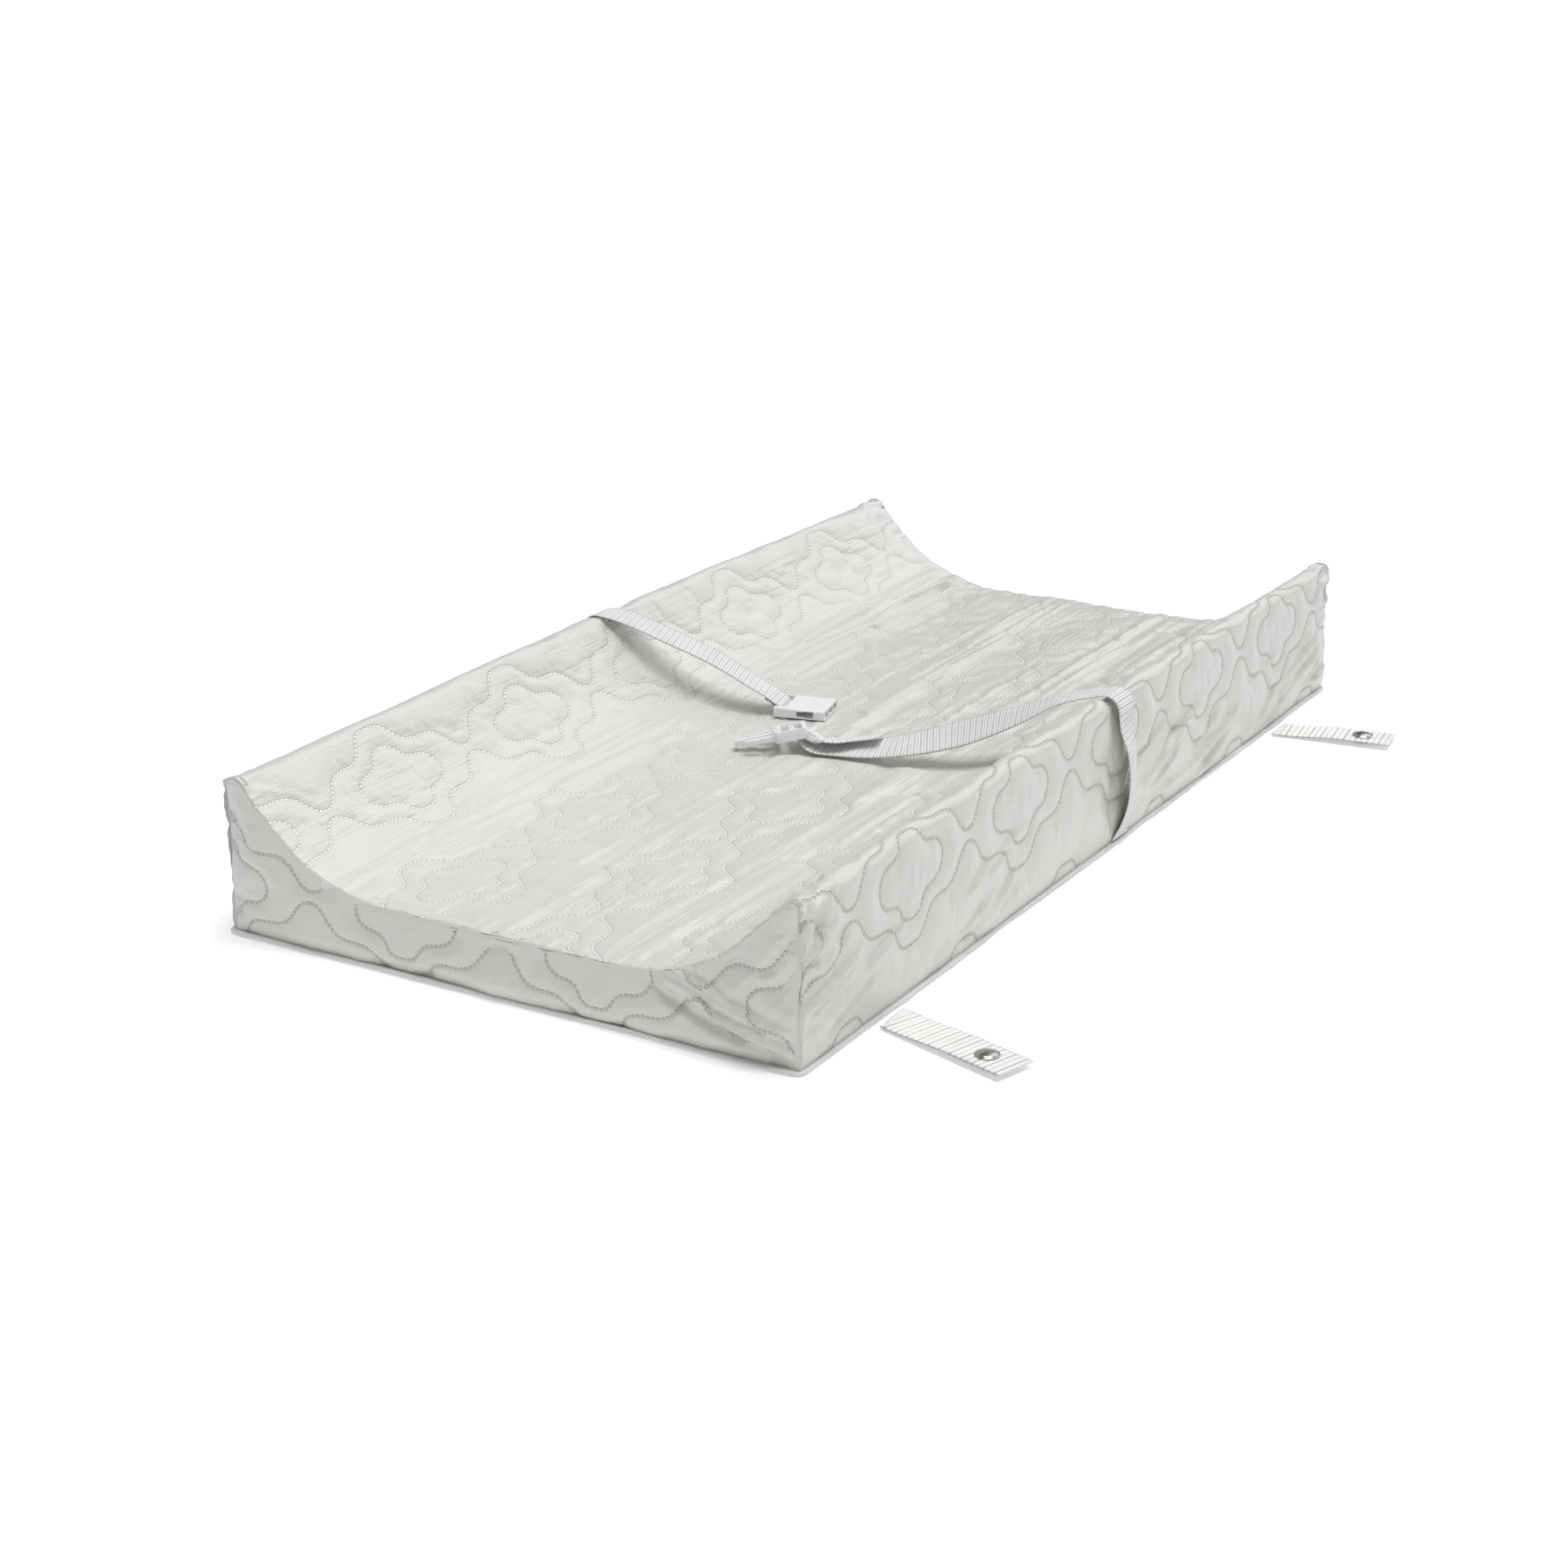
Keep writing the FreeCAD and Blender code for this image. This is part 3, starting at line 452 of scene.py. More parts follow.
# One quarter of a medallion and of the wavy lines round it, from its middle outwards.
MEDALLION = ((38.3, 0), (37.6, 4), (34.4, 8.3), (28.5, 11.4), (21, 12.6), (16.6, 14.2), (13.2, 17.6),
             (10.8, 21.2), (7, 23.8), (0, 25.0))
OUTLINE = ((0, 40.0), (8, 39.6), (13, 37.2), (18, 31.5), (22, 26.5), (27, 23.4), (34, 22.2), (42, 22.0),
           (49, 20.6), (54, 17.8), (58, 13.4), (61, 9.4), (65, 5.6), (69, 3.7), (72, 3.3))
LINE_SPACING = 0.7          # between the points kept on a quilting line
BATCH = 20000               # places measured at once


def line_points(corners):
    """Dense points on a rounded line, and how many stitches lie before each, a whole number in all."""
    points, run = curve_through([(x, y, 0.0) for x, y in corners], LINE_SPACING)
    stitches = run / run[-1] * round(run[-1] / STITCH)
    return points[:, :2], stitches


QUARTER = [line_points(MEDALLION), line_points(OUTLINE)]


def nearest_line(u, v):
    """Signed distance to the nearest quilting line and the stitch count there, in one quarter of the pattern.

    The distance is above zero between a medallion and its outline, and below zero elsewhere, so it
    passes straight through zero on every line.
    """
    points = np.vstack([p for p, _ in QUARTER])
    ahead = np.vstack([np.gradient(p, axis=0) for p, _ in QUARTER])
    counts = np.concatenate([c for _, c in QUARTER])
    rates = np.concatenate([np.gradient(c) for _, c in QUARTER])
    pace = np.maximum((ahead ** 2).sum(1), 1e-9)
    flat = np.column_stack([u.ravel(), v.ravel()])
    distance = np.empty(len(flat))
    stitch = np.empty(len(flat))
    for start in range(0, len(flat), BATCH):
        batch = slice(start, start + BATCH)
        part = flat[batch]
        k = ((part[:, None, :] - points[None]) ** 2).sum(2).argmin(1)
        offset = part - points[k]
        share = np.clip((offset * ahead[k]).sum(1) / pace[k], -0.6, 0.6)
        gap = np.linalg.norm(offset - ahead[k] * share[:, None], axis=1)
        left = ahead[k, 0] * offset[:, 1] - ahead[k, 1] * offset[:, 0] > 0
        distance[batch] = np.where(left, -gap, gap)
        stitch[batch] = counts[k] + rates[k] * share
    return distance.reshape(u.shape), stitch.reshape(u.shape)


def quilt(along, row, shifts, repeat=REPEAT):
    """Signed distance and stitch count of the quilting at a place along a row and a row number.

    Rows alternate by half a repeat, each with a small shift of its own.  The pattern is symmetric,
    so a place is folded into a quarter, in its own row and in the next one.
    """
    n = np.round(row).astype(int)
    best = None
    for k in (n, n + np.where(row >= n, 1, -1)):
        shift = np.interp(k, np.arange(len(shifts)), shifts)
        u = (along - shift - np.where(k % 2 == 0, 0.0, repeat / 2)) / repeat * REPEAT
        u = np.abs((u + REPEAT / 2) % REPEAT - REPEAT / 2)
        v = np.abs(row - k) * ROW
        distance, stitch = nearest_line(u, v)
        if best is None:
            best = (distance, stitch)
        else:
            closer = np.abs(distance) < np.abs(best[0])
            best = (np.where(closer, distance, best[0]), np.where(closer, stitch, best[1]))
    return best


# -------- the padded cover

PANEL_ROLL = 2.0                    # how far an end panel stands out past the wrap panel's edge
reach_x, HALF_WIDTH, RIDGE = np.array(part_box("quilted_cover")[1]) / MM
HALF_LENGTH = reach_x + PANEL_ROLL
FLOOR = 40.0                        # height of the dish's flat middle
SWEEP = 120.0                       # radius from the flat to the slope
CREST = 7.0                         # radius of the ridge
SLOPE = math.radians(45.0)
UNDERSIDE = 1.2                     # height of the cover's lowest edge
CROWN = 5.0                         # how much higher the ridges are at mid-length
SIDE_BOW = 2.5                      # how far the sides bow out at mid-height
FLOOR_STEPS, SWEEP_STEPS, CREST_STEPS, SIDE_STEPS = 40, 60, 60, 40
# Where each quilting row lies round the cover, by arc length from the middle, and its number.
ROW_PLACES = ((470, -3), (368, -2), (268, -1), (168, 0), (71, 1), (-30, 2), (-136, 3), (-243, 4), (-350, 5))
ROW_SHIFTS = (3.0, 13.0, 16.0, 12.0, 8.0, 8.0)      # how far towards the head each row starts


def half_profile():
    """Half of the pad's cross-section as arc length, across, height and outward direction.

    Flat floor, an upward sweep of radius SWEEP, the straight inner slope, the rounded crest, and
    the upright side down to the seam.
    """
    corner = RIDGE - CREST + CREST / math.tan((math.pi / 2 - SLOPE) / 2)
    foot = HALF_WIDTH - (corner - FLOOR) / math.tan(SLOPE)
    edge = foot - SWEEP * math.tan(SLOPE / 2)
    a = np.linspace(0.0, SLOPE, SWEEP_STEPS)
    floor_y = np.linspace(0.0, edge, FLOOR_STEPS, endpoint=False)
    sweep_y = edge + SWEEP * np.sin(a)
    sweep_z = FLOOR + SWEEP * (1 - np.cos(a))
    b = np.linspace(math.pi / 2 + SLOPE, 0.0, CREST_STEPS)
    crest_y = HALF_WIDTH - CREST + CREST * np.cos(b)
    crest_z = RIDGE - CREST + CREST * np.sin(b)
    side_z = np.linspace(RIDGE - CREST, UNDERSIDE, SIDE_STEPS)[1:]
    y = np.concatenate([floor_y, sweep_y, crest_y, np.full(len(side_z), HALF_WIDTH)])
    z = np.concatenate([np.full(len(floor_y), FLOOR), sweep_z, crest_z, side_z])
    turn = np.concatenate([np.full(len(floor_y), math.pi / 2), math.pi / 2 + a, b, np.zeros(len(side_z))])
    s = np.r_[0.0, np.cumsum(np.hypot(np.diff(y), np.diff(z)))]
    return s, y, z, turn


PROFILE = half_profile()
HALF_SPAN = PROFILE[0][-1]
rising = slice(0, FLOOR_STEPS + SWEEP_STEPS + CREST_STEPS // 2)
CREST_S = float(np.interp(RIDGE, np.maximum.accumulate(PROFILE[2][rising]), PROFILE[0][rising]))


def cover_surface(s, x):
    """Points and outward directions of the plain cover at arc length s from the middle and place x.

    The ridges crown by a few millimetres towards mid-length, and the sides bow slightly.
    """
    side = np.sign(s)
    away = np.abs(s)
    y = np.interp(away, PROFILE[0], PROFILE[1])
    z = np.interp(away, PROFILE[0], PROFILE[2])
    turn = np.interp(away, PROFILE[0], PROFILE[3])
    outward = np.stack([np.zeros_like(y), side * np.cos(turn), np.sin(turn)], -1)
    share = 1.0 - (x / HALF_LENGTH) ** 2
    on_top = away < CREST_S
    raised = np.where(on_top, np.clip((z - FLOOR) / (RIDGE - FLOOR), 0, 1), np.clip(z / RIDGE, 0, 1) ** 1.5)
    bow = np.where(on_top, 0.0, np.sin(np.clip(z / RIDGE, 0, 1) * math.pi))
    points = np.stack([x, side * y, z + CROWN * share * raised], -1)
    points[..., 1] += side * SIDE_BOW * bow * smooth(0.0, 40.0, HALF_LENGTH - np.abs(x))
    return points, outward


def row_number(s):
    """Which quilting row lies at arc length s."""
    places = sorted(ROW_PLACES)
    return np.interp(s, [p for p, _ in places], [n for _, n in places])


def fold_lines(x, s, rows):
    """Sum of single folds, each a crisp ridge with a shallow valley beside it.

    A row is (middle x, middle s, half length, slope, width, height).  Across a fold the height is
    exp(-t^2) less half of a wider bell beside it, and along it the fold fades out at both ends.
    """
    height = np.zeros_like(s)
    edge = x[:, 0]
    for x0, s0, half, slope, width, tall in rows:
        i, j = np.searchsorted(edge, (x0 - 1.25 * half, x0 + 1.25 * half))
        if i >= j:
            continue
        ahead = (x[i:j] - x0) / half
        bend = 0.014 * half * np.sin(2.2 * ahead + s0)
        t = (s[i:j] - s0 - slope * (x[i:j] - x0) - bend) / (width * math.hypot(1.0, slope))
        across = np.exp(-t ** 2) - 0.5 * np.exp(-((t - 2.0) / 1.4) ** 2)
        height[i:j] += tall * across * np.exp(-ahead ** 4 * 2.0)
    return height


# Plain bands between the rows: middle and spread.  Drag places: middle, spread and how many folds.
PLAIN_BANDS = ((124.0, 11.0), (22.0, 15.0), (-80.0, 19.0), (-182.0, 10.0))
DRAG_PLACES = ((-185.0, 30.0, 12), (75.0, 34.0, 12), (215.0, 40.0, 9), (345.0, 36.0, 12), (-340.0, 36.0, 8))


def trough_folds(seed):
    """Long folds that run the length of the dish, closest in the plain bands between the rows."""
    rng = np.random.default_rng(seed)
    rows = []
    for count, widths, talls, halves in ((120, (1.9, 2.8), (0.35, 0.85), (60, 170)),
                                         (80, (2.8, 4.6), (0.6, 1.45), (90, 240)),
                                         (18, (6.0, 9.0), (0.8, 1.6), (150, 300))):
        for _ in range(count):
            middle, spread_s = PLAIN_BANDS[rng.choice(len(PLAIN_BANDS))]
            s0 = rng.normal(middle, spread_s) if rng.random() < 0.74 else rng.uniform(-190, 195)
            x0 = -400.0 + 800.0 * rng.random() ** 0.8
            share = 0.6 + 0.65 * float(smooth(-150, 250, x0))
            share *= 1.0 - 0.8 * float(smooth(135, 165, abs(s0)))
            rows.append((x0, s0, rng.uniform(*halves), rng.normal(0.0, 0.012), rng.uniform(*widths),
                         rng.uniform(*talls) * share))
    return rows


def side_folds(seed):
    """Slanted drag folds low on both sides, where the cover is pulled round the foam."""
    rng = np.random.default_rng(seed)
    rows = []
    for middle, spread_x, count in DRAG_PLACES:
        for _ in range(count):
            s0 = rng.uniform(CREST_S + 42, HALF_SPAN - 4)
            half = rng.uniform(16, 44)
            slope = rng.uniform(0.18, 0.5)
            x0 = rng.normal(middle, spread_x)
            rows.append((x0, -s0, half, slope, rng.uniform(1.9, 3.4), rng.uniform(0.8, 1.9)))
            rows.append((rng.normal(middle, spread_x) * 0.9, s0, half, -slope, rng.uniform(2.2, 3.6),
                         rng.uniform(0.4, 1.0)))
    return rows


def end_gathers(seed):
    """Short folds that start at the end seams, heavy at the ridge corners."""
    rng = np.random.default_rng(seed)
    rows = []
    for end in (-1, 1):
        for s0 in np.arange(-HALF_SPAN + 6, HALF_SPAN - 6, 5.2):
            corner = float(hump(abs(s0), CREST_S + 18, 30))
            half = rng.uniform(9, 20) + 14 * corner * rng.random()
            tall = rng.uniform(0.15, 0.45) + (0.3 + 1.0 * rng.random()) * corner
            slope = rng.normal(0.0, 0.12 + 0.35 * corner)
            rows.append((end * (HALF_LENGTH - rng.uniform(1, 6)), s0 + rng.normal(0, 1.5), half * 1.6, slope,
                         rng.uniform(1.8, 2.9), tall))
    return rows


NEAR_CORNER_FOLDS = ((-392.0, -232.0, 26.0, 0.9, 3.0, 2.6), (-386.0, -246.0, 30.0, 0.55, 3.4, 2.4),
                     (-394.0, -262.0, 22.0, -0.35, 2.6, 1.8), (-372.0, -226.0, 24.0, 1.3, 3.0, 1.6),
                     (-396.0, -280.0, 24.0, 0.3, 2.6, 1.3))


def wrinkle_depth(s, x, distance):
    """Folds of the cover in millimetres: long ones down the dish, gathers at the end seams, and
    slanted ones low on the sides, over a slow unevenness of the stuffing."""
    away = np.abs(s)
    top = 1.0 - smooth(CREST_S - 26, CREST_S - 8, away)
    side = smooth(CREST_S + 6, CREST_S + 26, away)
    end = HALF_LENGTH - np.abs(x)
    height = fold_lines(x, s, trough_folds(seed=11)) * top * (0.25 + 0.75 * smooth(2, 36, end))
    height += fold_lines(x, s, side_folds(seed=12)) * side
    height += fold_lines(x, s, end_gathers(seed=13))
    height += fold_lines(x, s, NEAR_CORNER_FOLDS)
    slow = noise(x / 110 + 40, s / 34 + 40, seed=14)
    lumps = noise(x / 26 + 40, s / 22 + 40, seed=15) * side
    height += slow * 0.4 + lumps * 0.25
    return height * (0.55 + 0.45 * smooth(0.0, 4.0, distance))


def end_rounding(x, radius):
    """How far the cover's edge turns in at the end seams."""
    over = np.clip(np.abs(x) - (HALF_LENGTH - radius), 0.0, radius)
    return radius - np.sqrt(np.maximum(radius ** 2 - over ** 2, 0.0))


def swell(points, quads, pinned, pressure, growth, frames, limit):
    """Moves of a cloth that is blown up from inside while it is held where pinned is 1.

    The cloth grows by a share of its size as it fills, which makes it buckle between its quilting
    lines.  No point may move further than the limit.
    """
    piece = make_piece("cloth_trial", points, quads)
    holds = piece.vertex_groups.new(name="held")
    for level in np.unique(np.round(pinned, 1)):
        chosen = np.nonzero(np.round(pinned.ravel(), 1) == level)[0]
        holds.add(chosen.tolist(), float(level), "REPLACE")
    cloth = piece.modifiers.new("cloth", "CLOTH")
    for rule, amount in (("quality", 6), ("mass", 0.25), ("tension_stiffness", 18),
                         ("compression_stiffness", 8), ("shear_stiffness", 6), ("bending_stiffness", 0.25),
                         ("air_damping", 3), ("vertex_group_mass", "held"), ("use_pressure", True),
                         ("uniform_pressure_force", pressure), ("shrink_min", -growth)):
        setattr(cloth.settings, rule, amount)
    cloth.settings.effector_weights.gravity = 0
    cloth.collision_settings.use_collision = False
    cloth.point_cache.frame_start = 1
    cloth.point_cache.frame_end = frames
    scene = bpy.context.scene
    for number in range(1, frames + 1):
        scene.frame_set(number)
    shaped = piece.evaluated_get(bpy.context.evaluated_depsgraph_get())
    moved = np.empty(len(shaped.data.vertices) * 3)
    shaped.data.vertices.foreach_get("co", moved)
    scene.frame_set(1)
    moves = moved.reshape(-1, 3) / MM - np.asarray(points).reshape(-1, 3)
    size = np.linalg.norm(moves, axis=1, keepdims=True)
    moves *= np.minimum(1.0, limit / np.maximum(size, 1e-9))
    bpy.data.objects.remove(piece)
    return moves


def spread(field, rows_at, columns_at):
    """Field on an even grid, read at fractional row and column numbers with cubic weights."""
    for axis, at in ((0, rows_at), (1, columns_at)):
        count = field.shape[axis]
        base = np.clip(np.floor(at).astype(int), 0, count - 2)
        t = (at - base)[:, None] if axis == 0 else (at - base)[None, :]
        t = t[..., None]
        taps = [np.take(field, np.clip(base + k, 0, count - 1), axis=axis) for k in (-1, 0, 1, 2)]
        field = 0.5 * (2 * taps[1] + (taps[2] - taps[0]) * t
                       + (2 * taps[0] - 5 * taps[1] + 4 * taps[2] - taps[3]) * t ** 2
                       + (3 * taps[1] - taps[0] - 3 * taps[2] + taps[3]) * t ** 3)
    return field


# Which side, where along the pad the belt crosses its ridge, and how deep it presses.
NOTCHES = ((-1, 16.0, 3.6), (1, 2.0, 1.4))
LIFT = 4.2                          # how far the near side swells towards its strap


def belt_notch(s, x):
    """Where the belt presses on each ridge the cover gives way, more sharply on the foot side."""
    height = np.zeros_like(s)
    for sign, middle, deep in NOTCHES:
        here = smooth(middle - 27, middle - 10, x) * (1 - smooth(middle + 12, middle + 46, x))
        there = smooth(CREST_S - 30, CREST_S - 2, sign * s) * (1 - smooth(CREST_S + 50, HALF_SPAN, sign * s))
        height -= deep * here * there
        peak = hump(x, middle - 30, 14) * hump(sign * s, CREST_S + 3, 12)
        height += 0.45 * deep * peak
    return height


def strap_lift(s, x, z):
    """How far the near side swells towards the strap that stands off it, most at mid-height."""
    ahead = x - near_crest[0]
    window = smooth(-26, 2, ahead) * (1 - smooth(10, 40, ahead))
    return LIFT * window * np.sin(math.pi * np.clip(z / RIDGE, 0, 1)) * (s < -CREST_S)


PUFF = 1.05                         # height of a puff between the quilting lines on the slopes
SIDE_PUFF = 1.0                     # how much higher it is on the sides
PUFF_REACH = 6.0                    # how far from a line a puff has mostly risen
SINK = 0.7                          # how far below the plain surface a quilting line lies
END_RADIUS = 2.0                    # of the cover's edge at the end seams
CORNER_PEAK = 2.6                   # how far the ridges rise at their very ends


def cover_shape(s, x, folded=True):
    """Finished cover: the plain surface moved along its normal by puffs, folds and rounding."""
    points, outward = cover_surface(s, x)
    distance, stitch = quilt(x, row_number(s), ROW_SHIFTS)
    gap = np.abs(distance)
    full = PUFF + SIDE_PUFF * smooth(CREST_S, CREST_S + 20, np.abs(s))
    height = full * (1.0 - np.exp(-(gap / PUFF_REACH) ** 1.2)) - SINK
    height += belt_notch(s, x) + strap_lift(s, x, points[..., 2])
    if folded:
        height += wrinkle_depth(s, x, gap)
    height -= end_rounding(x, END_RADIUS)
    end = HALF_LENGTH - np.abs(x)
    height += CORNER_PEAK * hump(np.abs(s), CREST_S, 8) * np.exp(-end / 8.0)
    height *= smooth(-2.0, 10.0, HALF_SPAN - np.abs(s))
    return points, outward, height, distance, stitch


COARSE = (204, 160)                 # points of the cloth that is blown up, along and across
BELOW = 20                          # points across the underside
EDGE_INSET = 1.2                    # how far the wrap panel stops short of the pad's ends
GRID_STEP, QUICK_STEP = 1.7, 2.6
LOOSE = 0.02                        # the weakest hold on the cloth
AWAY = 20.0                         # distance to a quilting line that is carried where there is none
BELT_ROOM = 0.1                     # how far the cover may rise where the belt lies on it, and elsewhere
FREE_ROOM = 8.0


def wrap_panel():
    """The quilted panel that goes from seam to seam over both ridges, closed below and at its ends.

    Returns the piece, and the across and height of its upper edge at each end, for the end panels.
    """
    ends = HALF_LENGTH - EDGE_INSET
    moves = None
    coarse_x = np.linspace(-ends, ends, COARSE[0])
    coarse_s = np.linspace(-HALF_SPAN, HALF_SPAN, COARSE[1])
    gx, gs = np.meshgrid(coarse_x, coarse_s, indexing="ij")
    points, outward, height, distance, _ = cover_shape(gs, gx, folded=False)
    rim = np.minimum(ends - np.abs(gx), HALF_SPAN - np.abs(gs))
    held = np.maximum(1.0 - smooth(1.0, 4.0, np.abs(distance)), 1.0 - smooth(0.0, 12.0, rim))
    held = np.maximum(held, LOOSE)
    start = points + outward * height[..., None]
    moves = swell(start, grid_quads(*COARSE)[:, ::-1], held, pressure=4.0, growth=0.004, frames=14,
                  limit=0.9).reshape(*COARSE, 3)
    step = GRID_STEP
    nx = int(2 * ends / step)
    ns = int(2 * HALF_SPAN / step)
    x = np.linspace(-ends, ends, nx)
    s = np.linspace(-HALF_SPAN, HALF_SPAN, ns)
    gx, gs = np.meshgrid(x, s, indexing="ij")
    plain, outward, height, distance, stitch = cover_shape(gs, gx)
    points = plain + outward * height[..., None]
    if moves is not None:
        points += spread(moves, np.linspace(0, COARSE[0] - 1, nx), np.linspace(0, COARSE[1] - 1, ns))
    wave = noise(gs / 17 + 60, gs * 0 + 0.5 + np.sign(gx), seed=16) * 1.5
    wave += noise(gs / 7 + 60, gs * 0 + 0.5, seed=17) * 0.6
    wave *= smooth(CREST_S - 10, CREST_S + 8, np.abs(gs))
    points[..., 0] += np.sign(gx) * wave * np.exp(-(HALF_LENGTH - np.abs(gx)) / 9.0)
    room = BELT_ROOM + FREE_ROOM * (1.0 - under_belt(plain)) + strap_lift(gs, gx, plain[..., 2])
    over = np.maximum(((points - plain) * outward).sum(-1) - room, 0.0)
    points -= outward * over[..., None]
    under_x, under_y = np.meshgrid(x, np.linspace(HALF_WIDTH, -HALF_WIDTH, BELOW + 2)[1:-1], indexing="ij")
    under = np.stack([under_x, under_y, np.full_like(under_x, UNDERSIDE)], -1)
    ring = np.concatenate([points, under], axis=1)
    n = ns + BELOW
    quads = grid_quads(nx, n, close_columns=True)
    marks = np.zeros((nx, n, 3))
    marks[..., 0] = AWAY
    marks[:, :ns, 0] = distance
    marks[:, :ns, 1] = stitch
    # Third mark: 1 on top falling to 0 on the sides, plus the dish rising towards the head; the vinyl paints
    # sides and dish darker by it, a painted shade.
    dish = (1.0 - smooth(100, 165, np.abs(gs))) * smooth(-330, 260, gx)
    marks[:, :ns, 2] = 1.0 - smooth(CREST_S - 12, CREST_S + 2, np.abs(gs)) + dish
    caps = [np.arange(n), (nx - 1) * n + np.arange(n)[::-1]]
    piece = make_piece("wrap_panel", ring, quads[:, ::-1], caps, {"quilt": marks})
    crown = np.abs(s) < CREST_S + CREST
    return piece, {-1: points[0, crown, 1:], 1: points[-1, crown, 1:]}


wrap, end_edges = wrap_panel()
vinyl = quilted_vinyl("white_quilted_vinyl")
dress(wrap, vinyl, "white_quilted_vinyl", "pad", "quilted_cover", "foam_core")


PANEL_BULGE = 5.0                   # how far the middle of an end panel swells, and each of its puffs
PANEL_PUFF = 2.3
PANEL_SINK = 0.6
PANEL_REPEAT = 138.0                # medallion to medallion, where the first lies, and its height
PANEL_SHIFT = 69.0
PANEL_ROW = 36.0
PANEL_DEPTH = 5.5                   # how far inside the pad's end the back of the panel lies
HEAD_SHARE = 0.35                   # how strong the drag folds are at the head end


def end_panel(name, sign):
    """Quilted end panel: a crowned sheet over the end, its edge rolled back to meet the wrap panel.

    Across is even in y; up goes from the seam to the contour.  It bulges most at mid-height, and on
    the foot end two drag folds rise from its near corner.
    """
    ny, nz = ((240, 56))
    across = np.linspace(-1, 1, ny)
    up = np.linspace(0, 1, nz)
    a, w = np.meshgrid(across, up, indexing="ij")
    y = a * (HALF_WIDTH - 0.6)
    edge_y, edge_z = end_edges[sign].T
    top = np.interp(y, np.maximum.accumulate(edge_y), edge_z) - 0.1
    z = UNDERSIDE + (top - UNDERSIDE) * w
    edge = np.minimum(np.minimum((1 - np.abs(a)) * HALF_WIDTH, (top - z) * 0.9), (z - UNDERSIDE) * 2 + 4)
    roll = np.sqrt(np.clip(1 - (1 - np.clip(edge / 3.0, 0, 1)) ** 2, 0, 1))
    out = PANEL_BULGE * smooth(0, 26, edge) + PANEL_ROLL * roll - PANEL_ROLL
    distance, stitch = quilt(y - PANEL_SHIFT, (z - PANEL_ROW) / ROW, (0.0, 0.0), PANEL_REPEAT)
    out += PANEL_PUFF * (1.0 - np.exp(-(np.abs(distance) / 7.0) ** 1.2)) - PANEL_SINK
    rise = z - (12 + (y + 195) * 0.30)
    fold = hump(rise, 0, 3.2) * 4.0 - hump(rise, -6, 4.0) * 3.0
    fold += hump(rise, 10, 3.0) * 2.4 - hump(rise, 15, 3.5) * 1.4
    fold *= smooth(-205, -180, y) * (1 - smooth(-125, -92, y))
    if sign > 0:
        fold *= HEAD_SHARE
    out += fold
    corner = np.exp(-(HALF_WIDTH - np.abs(y)) / 30.0) * smooth(0, 4, edge)
    out += corner * (creases(y / 34, z / 8.5, 51 + sign) * 2.0 + creases(y / 16, z / 4.8, 53) * 0.7)
    inside = smooth(0, 8, edge)
    out += noise(y / 45 + 20, z / 26 + 20, 55 + sign) * 1.1 * inside
    out += creases((y + z * 0.8) / 15 + 30, z / 60 + 30, 58 + sign) * 0.8 * inside
    out += creases(y / 9, z / 60, 57) * 0.45 * np.exp(-np.abs(top - z) / 9.0)
    x = sign * (HALF_LENGTH - 1.5 + np.maximum(out, -3.0))
    front = np.stack([x, y, z], -1)
    # Third mark 0: the vinyl paints the end panels with the painted shade of the sides.
    marks = np.stack([distance, stitch, np.zeros_like(stitch)], -1)
    back = front.copy()
    back[..., 0] = sign * (HALF_LENGTH - PANEL_DEPTH)
    rim = rim_of(ny, nz)
    points = np.concatenate([front.reshape(-1, 3), back.reshape(-1, 3)[rim]])
    marks = np.concatenate([marks.reshape(-1, 3), marks.reshape(-1, 3)[rim]])
    behind = ny * nz + np.arange(len(rim))
    walls = np.stack([rim, behind, np.roll(behind, -1), np.roll(rim, -1)], -1)
    quads = np.concatenate([grid_quads(ny, nz), walls])[:, ::sign]
    return make_piece(name, points, quads, [behind[::-sign]], {"quilt": marks})


for end, sign in (("foot", -1), ("head", 1)):
    panel = end_panel("quilted_end_" + end, sign)
    dress(panel, vinyl, "white_quilted_vinyl", "pad", "end_panel_" + end)


# -------- underside and seam

backing = plain_vinyl("white_plain_vinyl")


def seam_outline(reach, radius, spacing):
    """Rounded rectangle round the pad as centre points and outward directions, run anticlockwise."""
    hx = HALF_LENGTH + reach
    hy = HALF_WIDTH + reach
    points = []
    for cx, cy, start in ((hx, hy, 0), (-hx, hy, 90), (-hx, -hy, 180), (hx, -hy, 270)):
        for degrees in np.linspace(start, start + 90, 7):
            t = math.radians(degrees)
            points.append((cx - math.copysign(radius, cx) + radius * math.cos(t),
                           cy - math.copysign(radius, cy) + radius * math.sin(t)))
    points.append(points[0])
    p = np.array(points)
    run = np.r_[0, np.cumsum(np.hypot(*np.diff(p, axis=0).T))]
    at = np.arange(0, run[-1], spacing)
    at = at[:-1] if run[-1] - at[-1] < spacing / 2 else at
    centre = np.column_stack([np.interp(at, run, p[:, 0]), np.interp(at, run, p[:, 1])])
    ahead = unit(np.roll(centre, -2, 0) - np.roll(centre, 2, 0))
    return centre, np.column_stack([ahead[:, 1], -ahead[:, 0]]), at


SEAM_STITCH = 3.2                   # one stitch of the seam
STITCH_LINE = -0.8                  # how far out the seam's stitching runs


